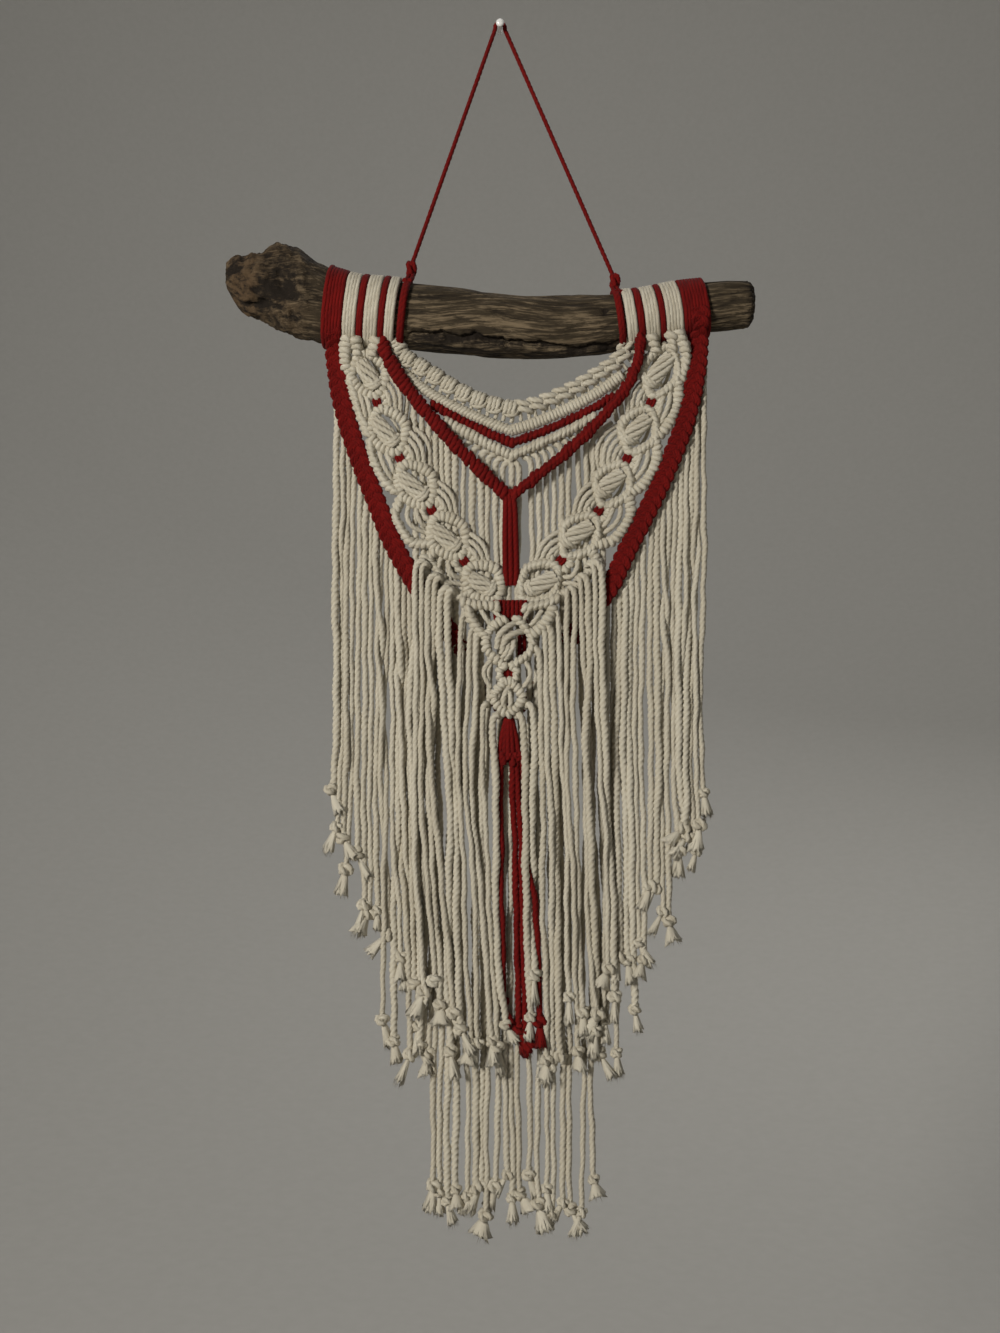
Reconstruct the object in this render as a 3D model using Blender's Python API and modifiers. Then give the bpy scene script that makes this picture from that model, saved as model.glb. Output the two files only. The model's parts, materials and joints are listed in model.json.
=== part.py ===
"""Macrame wall hanging on a driftwood rod, with the pin that it hangs from.

The origin is where the pin meets the wall. X runs to the right along the rod, Z is up and -Y points
into the room, so a depth is a distance from the wall. Tables and sizes are in millimetres.
"""
import math

import bpy
import bmesh

MM = 0.001
GAP = 0.4                    # clearance between pieces that touch

# depths: back face of each layer, measured from the wall
FRINGE_BACK = 23.5
FRINGE_THICKNESS = 3.0
PANEL_BACK = FRINGE_BACK + FRINGE_THICKNESS + GAP
EDGING_THICKNESS = 5.0
WING_THICKNESS = 5.2
NECKLINE_THICKNESS = 4.6
CHEVRON_THICKNESS = 3.6
FRONT_BACK = PANEL_BACK + WING_THICKNESS + GAP
DROP_THICKNESS = 4.6
INNER_V_THICKNESS = 3.8
TAIL_BACK = 28.6

# widths of the knotted rows
EDGING_WIDTH = 10.4
NECK_TOP_WIDTH = 6.6
NECK_RIB_WIDTH = 5.4
RED_CHEVRON_WIDTH = 3.8
WHITE_CHEVRON_WIDTH = 4.2
INNER_V_WIDTH = 6.8
INNER_V_TAIL_WIDTH = 6.4
INNER_V_TAIL_END = -301.0
INNER_V_CROTCH = 3.0         # how far below the branches the tail's sides begin
SECTION_SQUARENESS = 0.7     # 1 makes a row's section an ellipse, less makes it squarer

# cord, pin and ties
CORD_RADIUS = 1.2
PIN_SHANK_RADIUS = 1.2
PIN_HEAD_RADIUS = 2.2
PIN_SHANK_LENGTH = 11.8
PIN_HEAD_THICKNESS = 1.8
CORD_DEPTH_AT_PIN = 6.0
CORD_DEPTH_AT_ROD = 24.0

# rod and the bands wrapped over it
ROD_SIDES = 24
BAND_CLEARANCE = 0.5
BAND_THICKNESS = 2.4

# fringes
TOOTH_PITCH = 3.7
SLIT = 0.7
SPINE = 5.0
UNEVEN = 3.0                 # how far strand ends differ from their row's contour

CENTRE_X = 5.3               # middle of the knotted pattern, a little right of the pin

# driftwood: position along the rod, height and depth of its middle, half height and half depth
ROD_STATIONS = [
    # x,      z,      depth, half_z, half_y
    (-148.5, -144.3, 24.0, 5.0, 5.0),
    (-144.5, -145.3, 24.0, 9.5, 9.0),
    (-137.0, -147.0, 24.0, 14.0, 13.0),
    (-128.5, -148.3, 24.0, 18.2, 16.5),
    (-122.0, -148.3, 24.0, 22.5, 18.5),
    (-115.5, -150.0, 24.0, 24.3, 19.5),
    (-108.0, -154.0, 24.0, 23.8, 19.5),
    (-98.5, -158.5, 23.5, 21.8, 19.0),
    (-89.0, -161.5, 23.0, 19.9, 18.0),
    (-75.5, -163.3, 23.0, 18.2, 17.0),
    (-62.0, -164.0, 23.0, 18.0, 17.0),
    (-48.5, -165.3, 23.0, 17.7, 17.0),
    (-29.5, -167.5, 23.0, 18.0, 17.0),
    (-8.0, -170.0, 23.0, 17.5, 17.0),
    (13.5, -171.0, 23.0, 17.0, 16.5),
    (35.0, -171.3, 23.0, 16.8, 16.5),
    (54.0, -170.0, 22.5, 16.0, 16.0),
    (75.5, -166.8, 22.0, 14.8, 15.0),
    (94.5, -163.0, 21.5, 14.5, 14.5),
    (108.0, -160.8, 21.5, 13.8, 14.0),
    (124.0, -159.3, 21.5, 13.3, 13.5),
    (135.0, -158.5, 21.5, 12.6, 12.5),
    (138.0, -158.3, 21.5, 8.5, 8.5),
]

# bands over the rod, from the outside in: middle of the band at the rod's front, width, colour
BANDS = {
    "left": [
        # x,     width, colour
        (-88.8, 10.4, "red"),
        (-79.6, 6.8, "white"),
        (-74.0, 3.2, "red"),
        (-68.2, 7.2, "white"),
        (-62.6, 2.8, "red"),
        (-58.2, 4.8, "white"),
    ],
    "right": [
        (104.8, 13.8, "red"),
        (92.8, 9.0, "white"),
        (86.5, 2.6, "red"),
        (80.9, 7.3, "white"),
        (75.0, 3.2, "red"),
        (70.0, 5.4, "white"),
    ],
}
BAND_LEAN = 2.4              # how far a band's top leans towards the middle of the rod

# knotted rows: x and z of the middle line, and how wide it is there as a share of its full width
EDGING_PATH = {
    "left": [
        (-89.5, -186.5, 0.95),
        (-88.0, -196.0, 1.0),
        (-86.0, -209.5, 1.0),
        (-81.0, -228.5, 1.0),
        (-74.5, -247.5, 1.0),
        (-67.0, -266.5, 1.0),
        (-58.5, -288.0, 0.95),
        (-46.0, -310.5, 0.9),
        (-34.5, -327.0, 0.8),
        (-22.5, -344.5, 0.7),
        (-11.0, -363.5, 0.65),
        (-0.6, -379.5, 0.55),
    ],
    "right": [
        (107.5, -180.5, 0.95),
        (106.5, -193.5, 1.0),
        (103.0, -212.5, 1.0),
        (98.5, -228.5, 1.0),
        (92.0, -245.0, 1.0),
        (85.0, -261.0, 1.0),
        (77.0, -277.0, 1.0),
        (69.0, -292.5, 0.95),
        (59.5, -312.5, 0.9),
        (47.5, -328.5, 0.8),
        (32.5, -347.5, 0.7),
        (21.5, -363.5, 0.65),
        (11.2, -379.5, 0.55),
    ],
}
INNER_V_PATH = {
    "left": [(-62.0, -186.0), (-58.0, -194.0), (-51.0, -205.0), (-42.0, -216.5), (-31.5, -228.5),
             (-20.5, -240.5), (-8.5, -252.5), (0.5, -261.0)],
    "right": [(75.0, -184.0), (74.0, -192.0), (68.5, -205.0), (59.5, -217.0), (48.5, -229.0),
              (35.0, -241.5), (21.5, -252.5), (10.0, -261.5)],
}
INNER_V_APEX = (CENTRE_X, -264.5)
NECK_TOP_PATH = [(-53.6, -187.9), (-48.5, -191.4), (-39.0, -197.0), (-29.0, -203.8), (-19.0, -209.5),
                 (-7.5, -214.3), (5.5, -217.2), (20.0, -215.0), (40.0, -206.5), (53.0, -198.5),
                 (60.5, -193.6), (65.3, -191.0)]
NECK_RIB_PATH = [(-50.5, -197.8), (-45.0, -202.6), (-35.0, -210.2), (-19.5, -218.0), (-5.5, -224.0),
                 (6.0, -228.0), (20.0, -223.6), (40.0, -214.8), (54.5, -207.0), (64.5, -200.5)]
RED_CHEVRON_PATH = [(-34.0, -216.0), (-20.0, -223.3), (-6.0, -230.2), (6.5, -235.5), (20.5, -230.0),
                    (36.5, -223.2), (51.0, -216.0), (58.5, -211.8)]
WHITE_CHEVRON_PATH = [(-29.0, -223.6), (-19.0, -229.0), (-6.5, -235.8), (6.5, -242.0), (20.5, -236.0),
                      (36.0, -229.0), (50.5, -221.5)]

# the net of each wing: middles of its five rings, from the rod down
WING_RINGS = {
    "left": [(-70.5, -200.0), (-58.5, -230.0), (-43.5, -259.5), (-28.0, -284.0), (-8.5, -309.5)],
    "right": [(87.0, -199.0), (76.0, -230.0), (58.5, -259.5), (41.5, -285.0), (20.0, -309.5)],
}
WING_TOP = {
    "left": [(-83.6, -187.0), (-66.4, -187.0)],
    "right": [(101.6, -182.0), (79.2, -185.0)],
}
WING_FOOT = {
    "left": [(-40.5, -309.5), (-34.0, -318.5), (-22.0, -323.5), (-8.0, -326.0), (CENTRE_X - 0.3, -322.0),
             (CENTRE_X - 0.3, -306.5), (-0.5, -303.5)],
    "right": [(53.2, -311.5), (47.0, -320.0), (34.0, -323.5), (19.0, -326.0), (CENTRE_X + 0.3, -322.0),
              (CENTRE_X + 0.3, -306.5), (11.5, -303.5)],
}
RING_LENGTH = 20.0
RING_HALF_WIDTH = 9.4
NECK_HALF_WIDTH = 6.0
RING_HOLE_OFFSET = 5.2       # from a ring's middle to the leaf-shaped hole on each side
RING_HOLE = (4.4, 1.3)       # half length and half width of that hole
EDGE_HOLE_OFFSET = 7.6       # from between two rings to the hole on the edging's side
EDGE_HOLE = (6.0, 2.0)
LEAF_POINTS = 6
WING_EDGE_END = -313.0       # the wing lies beside the edging down to here

# the drop: height, and half width of its outline
DROP_PROFILE = [
    # z,      half_width
    (-317.5, 4.5),
    (-321.0, 6.4),
    (-326.5, 5.0),
    (-331.5, 7.5),
    (-337.0, 11.4),
    (-342.5, 12.4),
    (-348.0, 11.2),
    (-353.5, 7.0),
    (-358.0, 4.6),
    (-362.5, 6.0),
    (-367.5, 8.8),
    (-372.0, 9.4),
    (-376.5, 7.6),
    (-381.0, 3.4),
]
DROP_HOLES = [
    # x from the middle, z, half length, half width
    (-5.6, -342.5, 4.4, 1.3),
    (5.6, -342.5, 4.4, 1.3),
    (-4.4, -372.0, 3.0, 1.0),
    (4.4, -372.0, 3.0, 1.0),
]

# tassel: height and radius of its wrapped head, then its loose cords
TASSEL_X = 5.0
TASSEL_DEPTH = 31.4
TASSEL_HEAD = [(-383.4, 2.6), (-385.5, 4.0), (-391.0, 4.2), (-399.0, 4.4), (-404.0, 4.2), (-405.8, 3.4)]
TASSEL_TAIL_TOP = [(-0.2, -406.3), (10.2, -406.3)]
TASSEL_TAIL_ENDS = [(1.4, -536.0), (5.0, -552.0), (8.6, -561.0)]

# fringes: the line that each one hangs from and the contour of its strands' ends
OUTER_FRINGE = {
    "left": {
        "top": [(-91.2, -219.0), (-84.5, -223.0), (-81.0, -229.5), (-74.5, -247.5), (-67.0, -266.5),
                (-58.5, -288.0), (-46.0, -310.5), (-36.2, -324.5)],
        "ends": [(-91.2, -423.0), (-83.5, -461.0), (-73.0, -488.0), (-63.5, -501.5), (-55.0, -517.5),
                 (-43.0, -536.5), (-36.2, -542.0)],
        "second": [(-67.0, -560.0), (-54.0, -566.0), (-43.0, -574.0), (-36.2, -577.0)],
    },
    "right": {
        "top": [(54.4, -319.5), (59.5, -312.5), (69.0, -292.5), (77.0, -277.0), (85.0, -261.0),
                (92.0, -245.0), (98.5, -228.5), (103.0, -214.5), (112.0, -210.0)],
        "ends": [(54.4, -548.0), (64.0, -533.0), (78.5, -520.0), (86.5, -498.5), (98.5, -480.0),
                 (104.0, -461.0), (112.0, -428.5)],
        "second": [(54.4, -585.0), (67.5, -582.0), (76.5, -560.0)],
    },
}
FRONT_FRINGE = {
    "left": {
        "top": [(-52.0, -309.0), (-40.0, -317.0), (-28.0, -322.0), (-12.2, -327.5), (-8.6, -331.5),
                (-8.3, -353.5), (-4.9, -356.5), (-4.6, -381.5), (-0.2, -385.0)],
        "ends": [(-52.0, -529.0), (-32.5, -542.0), (-16.0, -560.5), (-0.2, -560.5)],
    },
    "right": {
        "top": [(10.8, -385.0), (15.2, -381.5), (15.5, -356.5), (18.9, -353.5), (19.2, -331.5),
                (22.8, -327.5), (38.0, -322.0), (50.0, -317.0), (63.0, -309.0)],
        "ends": [(10.8, -560.5), (40.5, -563.5), (50.0, -550.0), (63.0, -534.0)],
    },
}
CURTAIN_FRINGE = {
    "top": [(-35.0, -221.0), (-29.0, -222.5), (-6.5, -235.5), (6.5, -242.0), (20.5, -235.5),
            (36.0, -228.0), (53.2, -219.0)],
    "ends": [(-35.0, -650.0), (-27.0, -660.0), (-13.5, -662.0), (0.0, -655.0), (16.0, -659.0),
             (32.5, -661.0), (46.0, -657.0), (53.2, -640.0)],
}

# hanger: where each leg of the red cord meets its knot on the rod, and the knot's half sizes
HANGER_KNOTS = {
    # x,     z,      half_x, half_y, half_z, tie_x, tie_width
    "left": (-48.4, -139.5, 3.0, 3.0, 6.4, -52.0, 4.4),
    "right": (62.4, -146.2, 3.0, 3.0, 5.6, 64.4, 4.2),
}
LEG_POINTS = 14
LOOP_POINTS = 9
LOOP_ARC = math.radians(216)

COLOURS = {
    "wood": (0.075, 0.055, 0.033),
    "white": (0.62, 0.56, 0.44),
    "red": (0.20, 0.012, 0.008),
    "pin": (0.75, 0.75, 0.72),
}
ROUGHNESS = {"wood": 0.9, "white": 0.95, "red": 0.92, "pin": 0.3}


def clear_scene():
    for old in list(bpy.data.objects):
        bpy.data.objects.remove(old, do_unlink=True)


def make_collection(name):
    collection = bpy.data.collections.new(name)
    bpy.context.scene.collection.children.link(collection)
    return collection


def finish_of(name, colour):
    """A material of the piece's own, in one of the object's four finishes."""
    material = bpy.data.materials.new(name)
    material.use_nodes = True
    shader = material.node_tree.nodes["Principled BSDF"]
    shader.inputs["Base Color"].default_value = (*COLOURS[colour], 1.0)
    shader.inputs["Roughness"].default_value = ROUGHNESS[colour]
    shader.inputs["Metallic"].default_value = 0.0
    return material


def add_piece(name, data, colour):
    piece = bpy.data.objects.new(name, data)
    data.materials.append(finish_of(name, colour))
    pieces.objects.link(piece)
    return piece


def read_between(table, x, column):
    """Read a column of a table whose first column rises, at any x."""
    if x <= table[0][0]:
        return table[0][column]
    for low, high in zip(table, table[1:]):
        if x <= high[0]:
            share = (x - low[0]) / (high[0] - low[0])
            return low[column] + share * (high[column] - low[column])
    return table[-1][column]


# driftwood and bands

def knobbly(x, angle):
    """How much the weathered skin swells or sinks at a place, as a share of the radius."""
    return 1.0 + 0.022 * math.sin(3 * angle + 0.09 * x) + 0.012 * math.sin(5 * angle - 0.13 * x)


def rod_surface(x, angle, out=0.0):
    """A point of the rod's skin: angle 0 faces the room and 90 degrees is the top."""
    z, depth, half_z, half_y = (read_between(ROD_STATIONS, x, column) for column in (1, 2, 3, 4))
    toward_room = (half_y * knobbly(x, angle) + out) * math.cos(angle)
    up = (half_z * knobbly(x, angle) + out) * math.sin(angle)
    return (x * MM, -(depth + toward_room) * MM, (z + up) * MM)


def loft(rows, ring):
    """Skin over rows of points. A ring joins the last row to the first, else both ends are closed."""
    shape = bmesh.new()
    loops = [[shape.verts.new(point) for point in row] for row in rows]
    pairs = list(zip(loops, loops[1:]))
    if ring:
        pairs.append((loops[-1], loops[0]))
    for one, two in pairs:
        for i in range(len(one)):
            j = (i + 1) % len(one)
            shape.faces.new((one[i], one[j], two[j], two[i]))
    if not ring:
        shape.faces.new(loops[0])
        shape.faces.new(loops[-1])
    bmesh.ops.recalc_face_normals(shape, faces=shape.faces)
    mesh = bpy.data.meshes.new("loft")
    shape.to_mesh(mesh)
    shape.free()
    mesh.shade_smooth()
    mesh.set_sharp_from_angle(angle=math.radians(40))
    return mesh


def turns(count):
    return [2 * math.pi * i / count for i in range(count)]


def make_rod():
    rows = [[rod_surface(station[0], angle) for angle in turns(ROD_SIDES)] for station in ROD_STATIONS]
    add_piece("driftwood_rod", loft(rows, ring=False), "wood")


def band_loop(x, out, lean):
    return [rod_surface(x + lean * math.sin(angle), angle, out) for angle in turns(ROD_SIDES)]


def band_mesh(x, width, lean):
    """A flat belt round the rod, just clear of it and following its skin."""
    inside = BAND_CLEARANCE
    outside = BAND_CLEARANCE + BAND_THICKNESS
    left = x - width / 2
    right = x + width / 2
    corners = [(left, inside), (left, outside), (x, outside), (right, outside), (right, inside), (x, inside)]
    return loft([band_loop(corner_x, out, lean) for corner_x, out in corners], ring=True)


def make_bands(side, lean):
    for number, (x, width, colour) in enumerate(BANDS[side], start=1):
        add_piece(f"band_{side}_{number}", band_mesh(x, width, lean), colour)


# flat and rounded rows of knots

def upright(piece, depth):
    """Stand a shape drawn in x and y up in the panel's plane, with its middle at this depth."""
    piece.rotation_euler = (math.pi / 2, 0.0, 0.0)
    piece.location = (0.0, -depth * MM, 0.0)


def slab(name, outlines, back, thickness, colour):
    """A flat outline with its holes, filled and given its thickness."""
    curve = bpy.data.curves.new(name, "CURVE")
    curve.dimensions = "2D"
    curve.fill_mode = "BOTH"
    curve.extrude = thickness / 2 * MM
    for outline in outlines:
        spline = curve.splines.new("POLY")
        spline.points.add(len(outline) - 1)
        for point, (x, z) in zip(spline.points, outline):
            point.co = (x * MM, z * MM, 0.0, 1.0)
        spline.use_cyclic_u = True
    upright(add_piece(name, curve, colour), back + thickness / 2)


def squared(value):
    return math.copysign(abs(value) ** SECTION_SQUARENESS, value)


def rounded_profile(name, width, thickness, sides=10):
    """The oval section of a knotted row, as a guide for its sweep."""
    curve = bpy.data.curves.new(name, "CURVE")
    curve.dimensions = "2D"
    spline = curve.splines.new("POLY")
    spline.points.add(sides - 1)
    for point, angle in zip(spline.points, reversed(turns(sides))):
        across = squared(math.cos(angle)) * width / 2
        through = squared(math.sin(angle)) * thickness / 2
        point.co = (across * MM, through * MM, 0.0, 1.0)
    spline.use_cyclic_u = True
    guide = bpy.data.objects.new(name, curve)
    guide.hide_render = True
    guide.display_type = "WIRE"
    guides.objects.link(guide)
    return guide


def swept_row(name, path, width, thickness, colour):
    """A knotted row: an oval section swept along its line, which lies in the panel's plane."""
    curve = bpy.data.curves.new(name, "CURVE")
    curve.dimensions = "3D"
    curve.twist_mode = "Z_UP"
    curve.bevel_mode = "OBJECT"
    curve.bevel_object = rounded_profile(name + "_section", width, thickness)
    curve.use_fill_caps = True
    spline = curve.splines.new("POLY")
    spline.points.add(len(path) - 1)
    for point, (x, z, share) in zip(spline.points, path):
        point.co = (x * MM, z * MM, 0.0, 1.0)
        point.radius = share
    upright(add_piece(name, curve, colour), PANEL_BACK + thickness / 2)


def full_width(path):
    return [(x, z, 1.0) for x, z in path]


def beside(path, distance):
    """The line that runs beside a path, at a distance to the left of its direction."""
    line = []
    for i, (x, z, *_rest) in enumerate(path):
        before = path[max(i - 1, 0)]
        after = path[min(i + 1, len(path) - 1)]
        run_x = after[0] - before[0]
        run_z = after[1] - before[1]
        length = math.hypot(run_x, run_z)
        line.append((x - run_z / length * distance, z + run_x / length * distance))
    return line


def leaf(x, z, half_length, half_width, along):
    """A pointed hole whose length runs in the direction along."""
    points = []
    for angle in turns(LEAF_POINTS):
        lengthwise = half_length * math.cos(angle)
        across = half_width * math.sin(angle)
        points.append((x + along[0] * lengthwise - along[1] * across,
                       z + along[1] * lengthwise + along[0] * across))
    return points


def direction(start, end):
    length = math.hypot(end[0] - start[0], end[1] - start[1])
    return ((end[0] - start[0]) / length, (end[1] - start[1]) / length)


def scallops(rings, inward):
    """The wing's inner outline: it swells round each ring and draws in between them."""
    points = []
    half = RING_LENGTH / 2
    for i, (x, z) in enumerate(rings):
        along = direction(rings[max(i - 1, 0)], rings[min(i + 1, len(rings) - 1)])
        toward = (-along[1] * inward, along[0] * inward)
        for step in (-half, -half / 2, 0.0, half / 2, half):
            swell = math.cos(math.pi / 2 * step / half)
            out = NECK_HALF_WIDTH + (RING_HALF_WIDTH - NECK_HALF_WIDTH) * swell
            points.append((x + along[0] * step + toward[0] * out, z + along[1] * step + toward[1] * out))
    return points


def wing_holes(rings, inward):
    """Leaf-shaped gaps: one on each side of a ring's woven middle, and one between rings, outside."""
    holes = []
    for i, (x, z) in enumerate(rings):
        along = direction(rings[max(i - 1, 0)], rings[min(i + 1, len(rings) - 1)])
        toward = (-along[1] * inward, along[0] * inward)
        for offset in (-RING_HOLE_OFFSET, RING_HOLE_OFFSET):
            holes.append(leaf(x + toward[0] * offset, z + toward[1] * offset, *RING_HOLE, along))
    for one, two in zip(rings, rings[1:]):
        along = direction(one, two)
        toward = (-along[1] * inward, along[0] * inward)
        middle_x = (one[0] + two[0]) / 2 - toward[0] * EDGE_HOLE_OFFSET
        middle_z = (one[1] + two[1]) / 2 - toward[1] * EDGE_HOLE_OFFSET
        holes.append(leaf(middle_x, middle_z, *EDGE_HOLE, along))
    return holes


def make_wing(side, inward):
    """The net between the edging and the inner V. Inward is 1 where left of its run is the middle."""
    edge = [station for station in EDGING_PATH[side] if station[1] > WING_EDGE_END]
    outer = beside(edge, inward * (EDGING_WIDTH / 2 + GAP))[1:]
    corner, inner_corner = WING_TOP[side]
    inner = scallops(WING_RINGS[side], inward)
    outline = [corner] + outer + WING_FOOT[side] + inner[::-1][2:] + [inner_corner]
    slab(f"wing_{side}", [outline] + wing_holes(WING_RINGS[side], inward),
         PANEL_BACK, WING_THICKNESS, "white")


def make_drop():
    left = [(CENTRE_X - half, z) for z, half in DROP_PROFILE]
    right = [(CENTRE_X + half, z) for z, half in reversed(DROP_PROFILE)]
    holes = [leaf(CENTRE_X + x, z, half_length, half_width, (0.0, 1.0))
             for x, z, half_length, half_width in DROP_HOLES]
    slab("drop", [left + right] + holes, FRONT_BACK, DROP_THICKNESS, "white")


def make_inner_v():
    """Both red branches and the short tail below their meeting, as one piece."""
    path = INNER_V_PATH["left"] + [INNER_V_APEX] + INNER_V_PATH["right"][::-1]
    upper = beside(path, INNER_V_WIDTH / 2)
    lower = beside(path, -INNER_V_WIDTH / 2)
    turn = len(INNER_V_PATH["left"])
    half_tail = INNER_V_TAIL_WIDTH / 2
    lower_left = [point for point in lower[:turn] if point[0] < CENTRE_X - half_tail]
    lower_right = [point for point in lower[turn + 1:] if point[0] > CENTRE_X + half_tail]
    tail = [
        (CENTRE_X - half_tail, lower_left[-1][1] - INNER_V_CROTCH),
        (CENTRE_X - half_tail, INNER_V_TAIL_END),
        (CENTRE_X + half_tail, INNER_V_TAIL_END),
        (CENTRE_X + half_tail, lower_right[0][1] - INNER_V_CROTCH),
    ]
    slab("inner_v", [upper + (lower_left + tail + lower_right)[::-1]],
         PANEL_BACK + NECKLINE_THICKNESS + GAP, INNER_V_THICKNESS, "red")


# fringes

def strand_end(contour, x, number):
    """Where a strand ends: on its row's contour, a little uneven."""
    return read_between(contour, x, 1) + UNEVEN * math.sin(2.4 * number)


def comb(name, top, ends, back, thickness, colour):
    """A fringe: a spine along the line it hangs from, with one tooth for each strand."""
    left_x = top[0][0]
    width = (top[-1][0] - left_x) / len(ends)
    outline = list(top) + [(top[-1][0], ends[-1])]
    for number in range(len(ends) - 1, 0, -1):
        slit_x = left_x + width * number
        beside_slit = (read_between(top, slit_x - SLIT, 1), read_between(top, slit_x + SLIT, 1))
        slit_top = min(beside_slit) - SPINE
        outline += [
            (slit_x + SLIT / 2, ends[number]),
            (slit_x + SLIT / 2, slit_top),
            (slit_x - SLIT / 2, slit_top),
            (slit_x - SLIT / 2, ends[number - 1]),
        ]
    outline.append((left_x, ends[0]))
    slab(name, [outline], back, thickness, colour)


def tooth_places(top):
    count = round((top[-1][0] - top[0][0]) / TOOTH_PITCH)
    width = (top[-1][0] - top[0][0]) / count
    return [top[0][0] + width * (number + 0.5) for number in range(count)]


def in_reach(contour, x):
    return contour[0][0] <= x <= contour[-1][0]


def make_outer_fringe(side):
    """Strands from the edging. Towards the middle every other one reaches the lower, second row."""
    rows = OUTER_FRINGE[side]
    ends = []
    for number, x in enumerate(tooth_places(rows["top"])):
        lower_row = number % 2 == 1 and in_reach(rows["second"], x)
        contour = rows["second"] if lower_row else rows["ends"]
        ends.append(strand_end(contour, x, number))
    comb(f"fringe_outer_{side}", rows["top"], ends, FRINGE_BACK, FRINGE_THICKNESS, "white")


def make_plain_fringe(name, rows, back):
    places = tooth_places(rows["top"])
    ends = [strand_end(rows["ends"], x, number) for number, x in enumerate(places)]
    comb(name, rows["top"], ends, back, FRINGE_THICKNESS, "white")


def make_tassel():
    tube = bpy.data.curves.new("tassel_head", "CURVE")
    tube.dimensions = "3D"
    tube.bevel_depth = 1.0 * MM
    tube.bevel_resolution = 3
    tube.use_fill_caps = True
    spline = tube.splines.new("POLY")
    spline.points.add(len(TASSEL_HEAD) - 1)
    for point, (z, radius) in zip(spline.points, TASSEL_HEAD):
        point.co = (TASSEL_X * MM, -TASSEL_DEPTH * MM, z * MM, 1.0)
        point.radius = radius
    add_piece("tassel_head", tube, "red")
    comb("tassel_tail", TASSEL_TAIL_TOP, [z for _x, z in TASSEL_TAIL_ENDS], TAIL_BACK,
         FRINGE_THICKNESS, "red")


# hanger

def make_pin():
    """A nail: a turned shank and head, pointing from the wall into the room."""
    profile = [
        (0.0, PIN_SHANK_LENGTH + PIN_HEAD_THICKNESS),
        (PIN_HEAD_RADIUS * 0.7, PIN_SHANK_LENGTH + PIN_HEAD_THICKNESS * 0.8),
        (PIN_HEAD_RADIUS, PIN_SHANK_LENGTH + PIN_HEAD_THICKNESS * 0.4),
        (PIN_HEAD_RADIUS, PIN_SHANK_LENGTH),
        (PIN_SHANK_RADIUS, PIN_SHANK_LENGTH),
        (PIN_SHANK_RADIUS, 0.0),
        (0.0, 0.0),
    ]
    mesh = bpy.data.meshes.new("wall_pin")
    points = [(radius * MM, 0.0, height * MM) for radius, height in profile]
    edges = [(i, i + 1) for i in range(len(profile) - 1)]
    mesh.from_pydata(points, edges, [])
    pin = add_piece("wall_pin", mesh, "pin")
    screw = pin.modifiers.new("turn", "SCREW")
    screw.steps = 16
    screw.render_steps = 16
    screw.use_merge_vertices = True
    screw.merge_threshold = 0.00001
    screw.use_smooth_shade = False
    pin.rotation_euler = (math.pi / 2, 0.0, 0.0)


def hanger_route():
    """Up the left leg, over the pin's shank and down the right leg."""
    bend = PIN_SHANK_RADIUS + GAP + CORD_RADIUS
    arc = []
    for step in range(LOOP_POINTS):
        angle = math.pi / 2 + LOOP_ARC / 2 - LOOP_ARC * step / (LOOP_POINTS - 1)
        arc.append((bend * math.cos(angle), CORD_DEPTH_AT_PIN, bend * math.sin(angle)))
    legs = {}
    for side, join in (("left", arc[0]), ("right", arc[-1])):
        x, z, _half_x, _half_y, half_z, _tie_x, _tie_width = HANGER_KNOTS[side]
        foot = (x, CORD_DEPTH_AT_ROD, z + half_z + GAP)
        shares = [step / LEG_POINTS for step in range(LEG_POINTS)]
        legs[side] = [tuple(low + (high - low) * share for low, high in zip(foot, join)) for share in shares]
    return legs["left"] + arc + legs["right"][::-1]


def make_hanger_cord():
    tube = bpy.data.curves.new("hanger_cord", "CURVE")
    tube.dimensions = "3D"
    tube.bevel_depth = CORD_RADIUS * MM
    tube.bevel_resolution = 2
    tube.use_fill_caps = True
    route = hanger_route()
    spline = tube.splines.new("POLY")
    spline.points.add(len(route) - 1)
    for point, (x, depth, z) in zip(spline.points, route):
        point.co = (x * MM, -depth * MM, z * MM, 1.0)
    add_piece("hanger_cord", tube, "red")


def make_hanger_tie(side, lean):
    """The cord's end: wrapped once round the rod, with its knot on top, joined to one piece."""
    x, z, half_x, half_y, half_z, tie_x, tie_width = HANGER_KNOTS[side]
    shape = bmesh.new()
    bmesh.ops.create_uvsphere(shape, u_segments=12, v_segments=8, radius=1.0)
    for vert in shape.verts:
        vert.co.x = (x + vert.co.x * half_x) * MM
        vert.co.y = (-CORD_DEPTH_AT_ROD + vert.co.y * half_y) * MM
        vert.co.z = (z + vert.co.z * half_z) * MM
    knot_mesh = bpy.data.meshes.new("knot")
    shape.to_mesh(knot_mesh)
    shape.free()
    knot = bpy.data.objects.new(f"knot_{side}", knot_mesh)
    knot.hide_render = True
    knot.display_type = "WIRE"
    guides.objects.link(knot)
    tie = add_piece(f"hanger_tie_{side}", band_mesh(tie_x, tie_width, lean), "red")
    union = tie.modifiers.new("knot", "BOOLEAN")
    union.operation = "UNION"
    union.solver = "EXACT"
    union.object = knot


clear_scene()
pieces = make_collection("macrame_wall_hanging")
guides = make_collection("guides")

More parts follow.
